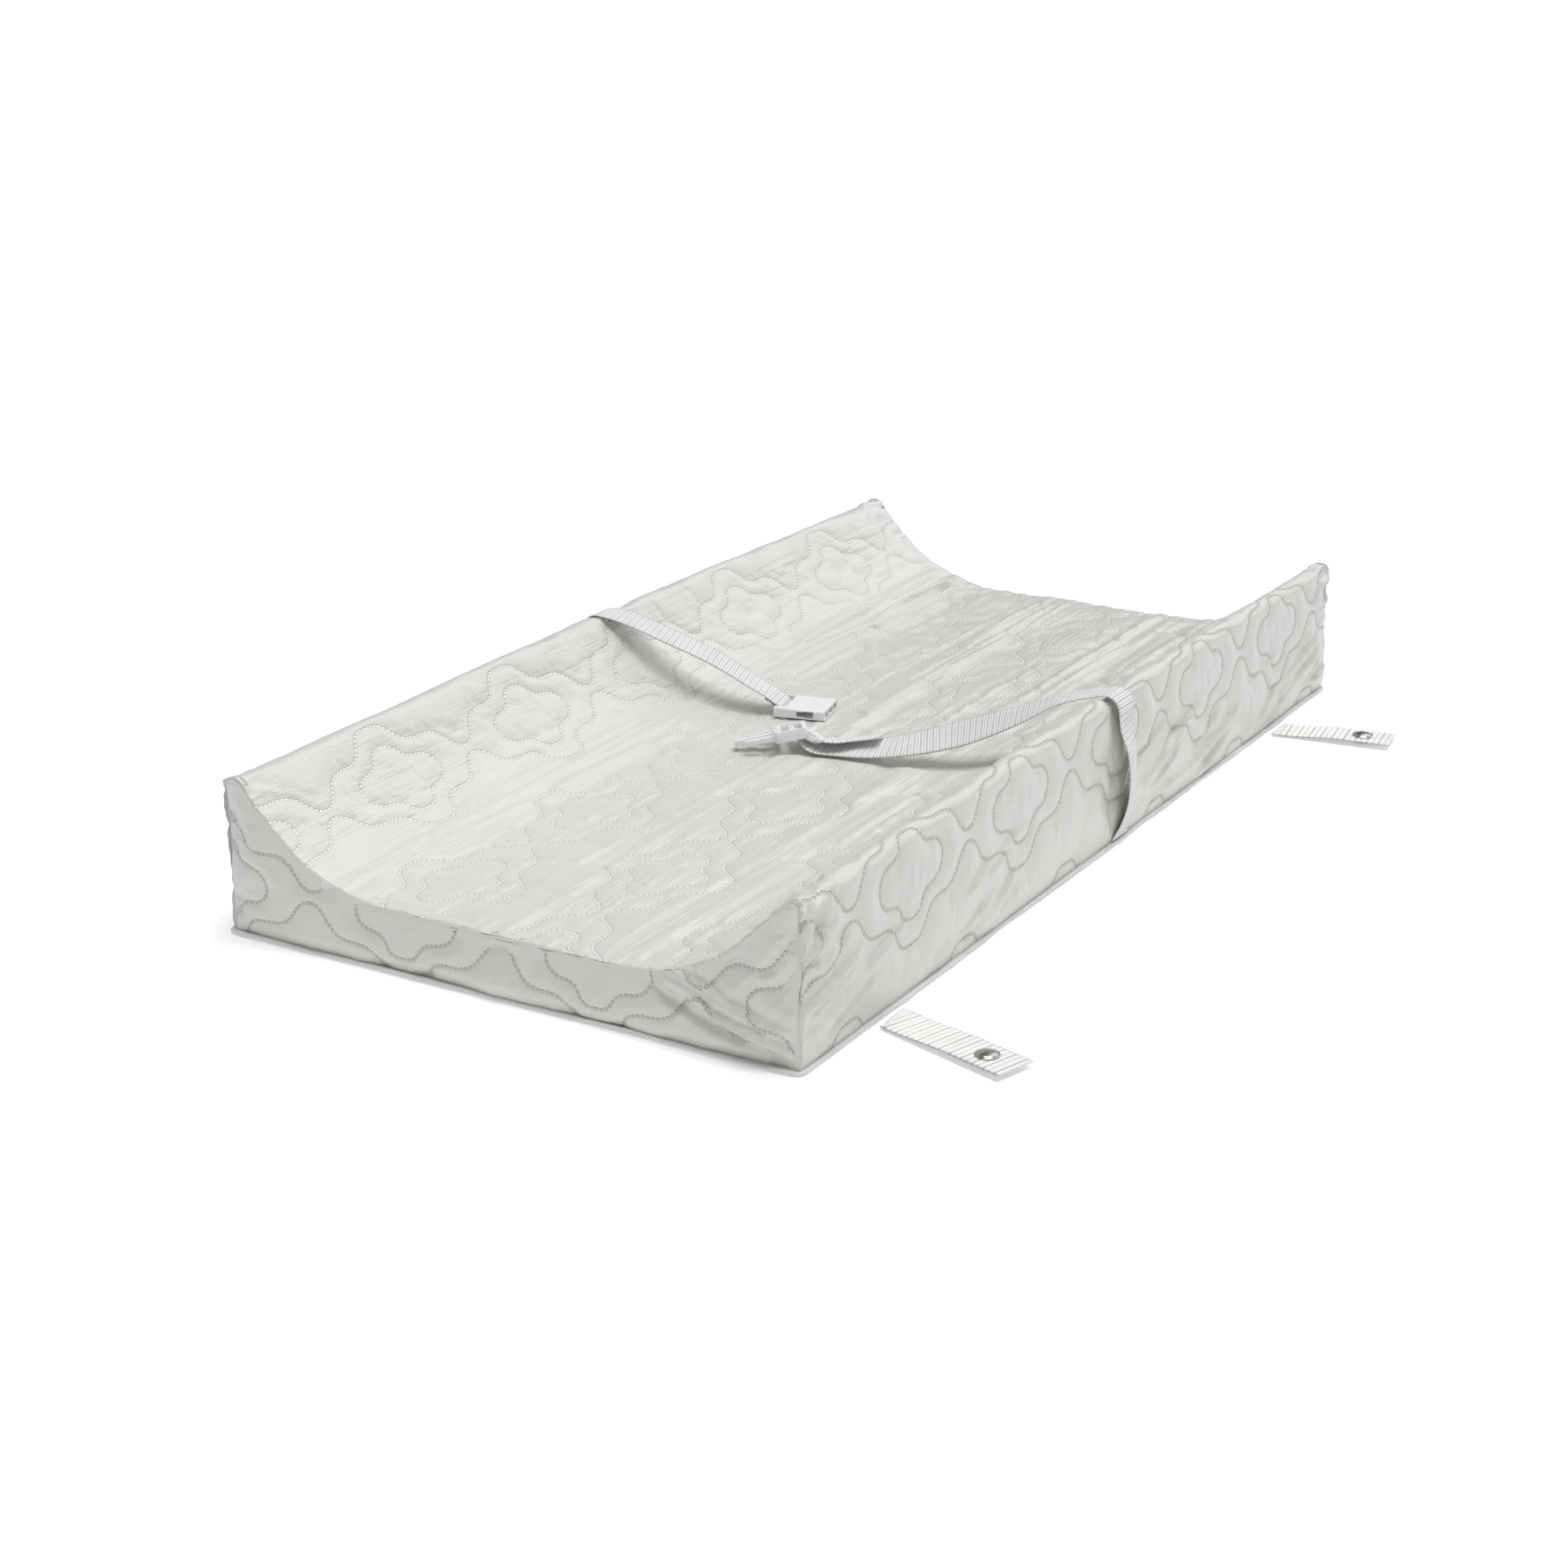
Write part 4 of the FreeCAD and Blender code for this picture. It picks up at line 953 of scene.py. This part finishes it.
def seam_tape():
    """Folded seam allowance: a flat closed section carried round the pad, waving up and down and in
    and out, thicker where it is folded over, with a sunk line of stitching."""
    centre, outward, at = seam_outline(0.0, 3.0, 1.6)
    section = np.array([(-3.6, 0.5), (-3.2, 1.7), (-1.4, 2.0), (STITCH_LINE, 1.7), (-0.2, 2.0), (1.6, 2.0),
                        (2.6, 1.8), (3.0, 1.2), (2.7, 0.6), (1.6, 0.25), (-2.0, 0.2)])
    wave = noise_along(at, 42, 61) * 1.3 + noise_along(at, 15, 62) * 0.5
    lift = np.clip(noise_along(at, 55, 63) * 1.6 + 0.2, -0.1, 1.6)
    ripple = noise_along(at, 7, 64) * 0.18
    out = section[None, :, 0] + (wave + ripple)[:, None] * smooth(-3, 3, section[:, 0])[None]
    z = section[None, :, 1] + lift[:, None] * smooth(-2, 4.5, section[:, 0])[None]
    pull = 0.5 + 0.5 * np.cos(at / SEAM_STITCH * 2 * math.pi)
    z -= 0.28 * pull[:, None] * (section[:, 0] == STITCH_LINE)[None]
    points = np.empty((len(at), len(section), 3))
    points[..., 0] = centre[:, None, 0] + outward[:, None, 0] * out
    points[..., 1] = centre[:, None, 1] + outward[:, None, 1] * out
    points[..., 2] = z
    n, m = len(at), len(section)
    quads = grid_quads(n + 1, m, close_columns=True) % (n * m)
    return make_piece("seam_tape", points, quads)


seam = seam_tape()
dress(seam, backing, "white_plain_vinyl", "pad",
      "base_seam", "anchor_strap_foot_sewn_end", "anchor_strap_head_sewn_end")


def underside_sheet():
    """Backing sheet: a thin closed slab whose lower face is faintly rippled between its seams."""
    nx, ny = 120, 60
    x, y = np.meshgrid(np.linspace(-1, 1, nx) * (HALF_LENGTH - 0.5),
                       np.linspace(-1, 1, ny) * (HALF_WIDTH - 0.5), indexing="ij")
    rim = np.minimum(HALF_LENGTH - np.abs(x), HALF_WIDTH - np.abs(y))
    ripple = (noise(x / 70, y / 24, 71) + 0.5 * noise(x / 30, y / 12, 72)) * 0.35 * smooth(0, 20, rim)
    low = np.stack([x, y, 0.5 + ripple], -1)
    high = np.stack([x, y, np.full_like(x, 1.3)], -1)
    quads = np.concatenate([grid_quads(nx, ny), grid_quads(nx, ny, nx * ny)[:, ::-1]])
    here = rim_of(nx, ny)
    ahead = np.roll(here, -1)
    walls = np.stack([here, ahead, ahead + nx * ny, here + nx * ny], -1)
    return make_piece("underside_sheet", np.concatenate([low.reshape(-1, 3), high.reshape(-1, 3)]),
                      np.concatenate([quads[:, ::-1], walls]))


sheet = underside_sheet()
dress(sheet, backing, "white_plain_vinyl", "pad", "base_panel")


# -------- belt

WEB_HALF = 12.5                     # half the webbing's width and thickness
WEB_THICK = 0.7
RIB = 2.2
# Share of the way from the ridge to the buckle bar, aside, up, and the direction across the webbing.
NEAR_HANG = ((0.085, 0.8, 0.3, (0.99, 0.15, 0.0)), (0.160, 1.8, -0.9, (0.97, 0.20, 0.10)),
             (0.293, 1.8, -9.3, (0.90, 0.28, 0.30)), (0.474, 2.0, -17.2, (0.80, 0.38, 0.45)),
             (0.663, -2.8, -19.3, (0.88, 0.36, 0.30)), (0.846, -0.1, -16.9, (0.94, 0.32, 0.07)),
             (0.924, -1.1, -12.7, (0.88, 0.45, 0.0)))
FAR_HANG = ((0.126, -1.8, 5.2, (1.0, 0.0, 0.0)), (0.387, -2.6, 8.7, (1.0, 0.0, 0.0)),
            (0.636, -0.9, 9.3, (0.99, 0.10, 0.0)), (0.845, 0.2, 5.9, (0.98, 0.20, 0.0)))
TAIL_HANG = ((0.890, 1.0, -9.3, (0.81, 0.56, -0.17)), (0.805, 9.6, -13.1, (0.82, 0.50, -0.22)),
             (0.723, 9.4, -12.5, (0.84, 0.48, -0.20)))
# Share of the way up the side, and how much of the full bow the webbing has there.
OUTER_BOW = ((0.0, 0.0), (0.12, 0.45), (0.3, 0.88), (0.5, 1.0), (0.7, 0.84), (0.87, 0.4))
STAND_OFF = 9.0                     # how far the webbing bows away from the side, and its turn there
OUTER_TWIST = 15.0
CREST_BEND = 10.7                   # radius of the webbing over the ridge, and round a buckle bar
LOOP = 2.8
LAYER = 1.45                        # from one layer of webbing to the next
LEG = 8.0                           # how far back the plug's loop starts, and how steeply it comes in
LEG_DROP = math.radians(30.0)
FAR_LEG = 12.5                      # how far back the socket's loop starts
ROOT_OUT, ROOT_DOWN = 0.6, 0.9      # where a strap starts, from its root
EDGE_POINTS = 11                    # points across one face of the webbing
SELVEDGE = 0.28                     # how far the ribs stand out past the webbing's edge


def strap(name, stations, half=WEB_HALF, thick=WEB_THICK, rib=RIB, rib_height=0.42, spacing=None):
    """Woven strap through (centre, across) stations.

    The section is flat: at width w from -1 to 1 each face lies thick * (1 - 0.35 |w|^6) from the
    middle, and the edges are closed.  Ribs cross it every rib, as |sin|^0.6 along the strap with
    every second groove deeper, and they make the selvedge scalloped.
    """
    spacing = spacing or rib / 5
    rows = [np.concatenate([c, unit(np.asarray(a, float))]) for c, a in stations]
    line, at = curve_through(rows, spacing)
    centre = line[:, :3]
    ahead = unit(np.gradient(centre, axis=0))
    across = line[:, 3:]
    across = unit(across - ahead * (across * ahead).sum(1, keepdims=True))
    normal = np.cross(ahead, across)
    phase = np.abs(np.sin(math.pi * at / rib))
    other = np.cos(math.pi * at / rib)
    ribs = phase ** 0.6
    depth = 1.0 - (1.0 - ribs) * (0.62 + 0.38 * other ** 2 * (other > 0))
    w = np.concatenate([np.linspace(-1, 1, EDGE_POINTS), np.linspace(1, -1, EDGE_POINTS)[1:-1]])
    w = np.sign(w) * np.abs(w) ** 0.8
    top = np.concatenate([np.ones(EDGE_POINTS), -np.ones(EDGE_POINTS - 2)])
    top[0] = top[EDGE_POINTS - 1] = 0.0
    body = (1 - 0.35 * np.abs(w) ** 6)
    thickness = (thick - rib_height) + rib_height * depth[:, None]
    side = half + SELVEDGE * (ribs[:, None] - 0.5)
    points = (centre[:, None] + across[:, None] * (w[None] * side)[..., None]
              + normal[:, None] * (top * body * thickness)[..., None])
    n = len(w)
    marks = np.empty(points.shape)
    marks[..., 0] = at[:, None]
    marks[..., 1] = w[None] * half
    # Rib depth, which the webbing also uses to paint its grooves darker, a painted shade.
    marks[..., 2] = depth[:, None]
    quads = grid_quads(len(at), n, close_columns=True)
    caps = [np.arange(n), (len(at) - 1) * n + np.arange(n)[::-1]]
    return make_piece(name, points, quads[:, ::-1], caps, {"weave": marks})


def hung(start, bar, hang):
    """Stations between a ridge and a buckle bar: a share of the way, moved aside and upwards."""
    return [(start + (bar - start) * share + np.array([aside, 0.0, lift]), across)
            for share, aside, lift, across in hang]


def seated(seat, side, *places):
    """Stations at places in a buckle half's own upright plane, with the webbing's across to one side."""
    return [(seat.point(x, 0, z), seat.direction(0, side, 0)) for x, z in places]


def outer_stations(root, crest, side):
    """Up the outside of the pad, bowed away from it, and round the top of the ridge."""
    middle = crest - np.array([0, 0, CREST_BEND])
    rise = middle[2] - root[2]
    rows = [(root + np.array([0, side * ROOT_OUT, -ROOT_DOWN]), (1, 0, 0))]
    for share, bow in OUTER_BOW:
        x = root[0] + (crest[0] - root[0]) * share
        twist = math.radians(OUTER_TWIST) * bow
        place = np.array([x, root[1] + side * STAND_OFF * bow, root[2] + rise * share])
        rows.append((place, (math.cos(twist), -side * math.sin(twist), 0)))
    for degrees in (175, 150, 125, 103, 90):
        t = math.radians(degrees)
        rows.append((middle + CREST_BEND * np.array([0, -side * math.cos(t), math.sin(t)]), (1, 0, 0)))
    return rows


leg_run = np.array([math.cos(LEG_DROP), math.sin(LEG_DROP)])
leg = LOOP * np.array([math.cos(-math.pi / 3), math.sin(-math.pi / 3)]) - LEG * leg_run
near_rows = outer_stations(joint_point("near_strap_root"), near_crest, -1)
near_rows += hung(near_crest, PLUG.origin, NEAR_HANG)
near_rows += seated(PLUG, -1, leg, leg + leg_run)
far_rows = outer_stations(joint_point("far_strap_root"), far_crest, 1)
far_rows += hung(far_crest, SOCKET.origin, FAR_HANG)
far_rows += seated(FAR_LOOP, 1, (-FAR_LEG, LOOP), (1.0 - FAR_LEG, LOOP))

cloth_web = webbing("white_webbing")
near_belt = strap("near_belt", near_rows)
far_belt = strap("far_belt", far_rows)
for piece, outer, lap, nodes, crest, side in (
    (near_belt, "near_strap", "near_lap", ("near_strap_outer", "near_strap_lap"), near_crest, -1),
    (far_belt, "far_strap", "far_lap", ("far_strap_outer", "far_strap_lap"), far_crest, 1),
):
    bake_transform(piece)
    dress(piece, cloth_web, "white_webbing", None, *nodes)


def arc(radius, start, end, steps, middle_x=0.0):
    """Places round an arc, by angle in degrees, about a point level with a buckle bar."""
    return [(middle_x + radius * math.cos(t), radius * math.sin(t))
            for t in np.radians(np.linspace(start, end, steps))]


inner = LOOP - LAYER
end_rows = seated(PLUG, -1, leg, *arc(LOOP, -60, 180, 11), *arc(inner, 0, -90, 5, -LOOP - inner)[1:],
                  (-10.8, -inner))
end_rows += hung(near_crest, PLUG.origin, TAIL_HANG)
dress(strap("near_belt_end", end_rows, thick=0.6), cloth_web, "white_webbing", "near_lap",
      "near_strap_adjuster_loop", "near_strap_tail")
loop_rows = seated(FAR_LOOP, 1, (-FAR_LEG, LOOP), (-4, LOOP), *arc(LOOP, 90, -120, 11), (-6.0, inner),
                   (-FAR_LEG, inner))
dress(strap("far_belt_loop", loop_rows), cloth_web, "white_webbing", "far_lap", "far_strap_bar_loop")


# -------- anchor tabs and snaps

tab_web = webbing("white_tab_webbing", 0.8)
chrome = nickel("nickel_plate", 0.20, (0.52, 0.53, 0.50), (0.26, 0.27, 0.25))
steel = nickel("spring_steel", 0.25, (0.55, 0.55, 0.55), (0.40, 0.40, 0.40))


def turned(name, centre, outline, around=64):
    """Solid of revolution about an upright axis, from (radius, height) pairs that start and end on it."""
    t = np.arange(around) * 2 * math.pi / around
    outline = np.asarray(outline, float)
    ring = outline[1:-1]
    points = np.empty((len(ring), around, 3))
    points[..., 0] = centre[0] + ring[:, None, 0] * np.cos(t)[None]
    points[..., 1] = centre[1] + ring[:, None, 0] * np.sin(t)[None]
    points[..., 2] = centre[2] + ring[:, None, 1]
    low = np.array([[centre[0], centre[1], centre[2] + outline[0, 1]]])
    high = np.array([[centre[0], centre[1], centre[2] + outline[-1, 1]]])
    every = np.concatenate([points.reshape(-1, 3), low, high])
    quads = grid_quads(len(ring), around, close_columns=True)
    n = len(ring) * around
    base = [[n, (k + 1) % around, k] for k in range(around)]
    crown = [[n + 1, n - around + k, n - around + (k + 1) % around] for k in range(around)]
    return make_piece(name, every, quads, base + crown)


TAB_LEVEL = 2.7                     # underside of the webbing at the snap
TAB_HALF = 14.5                     # half a tab's width
TAB_TIP = 22.0                      # from the snap's middle to the cut end
DOME = [(6.2 * math.cos(a), 1.0 + 1.35 * math.sin(a)) for a in np.linspace(0, math.pi / 2, 9)[:-1]]
CAP_OUTLINE = [(0, 0.0), (6.9, 0.0), (7.4, 0.15), (7.5, 0.5), (7.3, 0.85), (6.9, 1.0), (6.5, 0.92),
               *DOME, (0, 2.35)]
for end in ("foot", "head"):
    low, high = (np.array(c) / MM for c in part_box("snap_cap_" + end))
    snap = np.array([(low[0] + high[0]) / 2, (low[1] + high[1]) / 2, TAB_LEVEL])
    root = joint_point("anchor_tab_" + end + "_fold")
    run = snap - root
    run[2] = 0.0
    run = unit(run)
    across = np.array([-run[1], run[0], 0.0])
    middle = np.array([snap[0], snap[1], TAB_LEVEL + WEB_THICK])
    rows = [(root + np.array([0, 1.0, 0]), (1, 0, 0)), (root - np.array([0, 1.5, 0.1]), (1, 0, 0)),
            (np.array([root[0], root[1], 1.3]) + run * 13, across)]
    rows += [(middle + run * way, across) for way in (-20.0, -8.2, 0.0, TAB_TIP)]
    tab = strap("anchor_tab_" + end, rows, half=TAB_HALF, rib=4.3, rib_height=0.3, spacing=0.5)
    dress(tab, tab_web, "white_webbing", "anchor_tab_" + end, "anchor_strap_" + end)
    cap = turned("snap_button_" + end, (snap[0], snap[1], TAB_LEVEL + 1.35), CAP_OUTLINE)
    dress(cap, chrome, "nickel_plate", "anchor_tab_" + end, "snap_cap_" + end)
    for node, metal in (("snap_socket_" + end, chrome), ("snap_spring_" + end, steel)):
        frame["nodes"][node].data.materials.clear()
        frame["nodes"][node].data.materials.append(metal)


# -------- buckle

white_plastic = moulded_plastic("white_moulded_plastic")
WELD_GAP = 0.00002
FLAT_ANGLE, EDGE_ANGLE = math.radians(4), math.radians(35)


def softened(node, name, width):
    """A copy of a moulded node with its doubles merged, flat faces joined and edges rounded."""
    source = frame["nodes"][node]
    piece = bpy.data.objects.new(name, source.data.copy())
    bpy.context.collection.objects.link(piece)
    weld = piece.modifiers.new("weld", "WELD")
    weld.merge_threshold = WELD_GAP
    plane = piece.modifiers.new("plane", "DECIMATE")
    plane.decimate_type = "DISSOLVE"
    plane.angle_limit = FLAT_ANGLE
    bevel = piece.modifiers.new("bevel", "BEVEL")
    bevel.width = width * MM
    bevel.segments = 3
    bevel.limit_method = "ANGLE"
    bevel.angle_limit = EDGE_ANGLE
    bevel.use_clamp_overlap = True
    mesh = bpy.data.meshes.new_from_object(piece.evaluated_get(bpy.context.evaluated_depsgraph_get()))
    piece.modifiers.clear()
    piece.data = mesh
    mesh.name = name
    mesh.polygons.foreach_set("use_smooth", np.full(len(mesh.polygons), True))
    mesh.materials.clear()
    mesh.materials.append(white_plastic)
    return piece


for node, name, body, width in (
    ("buckle_socket", "buckle_shell", "socket", 0.35),
    ("buckle_plug", "buckle_prong_frame", "plug", 0.7),
    ("plug_arm_left", "buckle_arm_left", "arm_left", 0.5),
    ("plug_arm_right", "buckle_arm_right", "arm_right", 0.5),
):
    piece = softened(node, name, width)
    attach(piece, body)
    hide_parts(node)


# -------- studio

def floor():
    """Sheet of white paper, lit evenly, that the pad lies on."""
    n, reach, level = 40, 40000, -0.6
    side = np.linspace(-reach, reach, n)
    x, y = np.meshgrid(side, side, indexing="ij")
    piece = make_piece("studio_floor", np.stack([x, y, np.full_like(x, level)], -1), grid_quads(n, n))
    f = Finish("white_paper")
    paper = f.finish(Base_Color=(0.93, 0.93, 0.93, 1.0), Roughness=0.9, Specular_IOR_Level=0.1,
                     Emission_Color=(1.0, 1.0, 1.0, 1.0), Emission_Strength=0.20)
    piece.data.materials.append(paper)
    return piece


floor()


def soft_sun(name, towards, degrees, strength):
    """Very wide sun, like an overhead soft box, shining from a direction."""
    data = bpy.data.lights.new(name, "SUN")
    data.angle = math.radians(degrees)
    data.energy = strength
    lamp = bpy.data.objects.new(name, data)
    bpy.context.collection.objects.link(lamp)
    back = unit(np.array(towards, float))
    side = unit(np.cross((0.0, 1.0, 0.0), back))
    matrix = np.eye(4)
    matrix[:3, 0], matrix[:3, 1], matrix[:3, 2] = side, np.cross(back, side), back
    lamp.matrix_world = Matrix(matrix.tolist())


soft_sun("overhead", (0.0, -0.11, 1.0), 44.0, 2.25)
soft_sun("back_light", (0.75, -0.20, 0.60), 56.0, 0.80)
soft_sun("front_fill", (-0.90, -0.20, 0.38), 70.0, 0.26)
world = bpy.data.worlds.new("studio")
bpy.context.scene.world = world
world.use_nodes = True
world.node_tree.nodes["Background"].inputs[0].default_value = (1, 1, 1, 1)
world.node_tree.nodes["Background"].inputs[1].default_value = 0.13

camera = bpy.data.cameras.new("camera")
camera.lens = 65.73
camera.sensor_width = 36.0
camera.clip_start = 0.05
camera.clip_end = 50.0
view = bpy.data.objects.new("camera", camera)
bpy.context.collection.objects.link(view)
azimuth, elevation, roll = (math.radians(v) for v in (-59.622, 19.681, 0.125))
back = np.array([math.sin(azimuth) * math.cos(elevation), -math.cos(azimuth) * math.cos(elevation),
                 math.sin(elevation)])
right = np.array([math.cos(azimuth), math.sin(azimuth), 0.0])
rise = np.cross(back, right)
turned_right = right * math.cos(roll) + rise * math.sin(roll)
turned_rise = np.cross(back, turned_right)
pose = np.eye(4)
pose[:3, 0], pose[:3, 1], pose[:3, 2] = turned_right, turned_rise, back
pose[:3, 3] = (-1.64579, -0.91846, 0.68271)
view.matrix_world = Matrix(pose.tolist())
bpy.context.scene.camera = view
bpy.context.scene.view_settings.view_transform = "Standard"
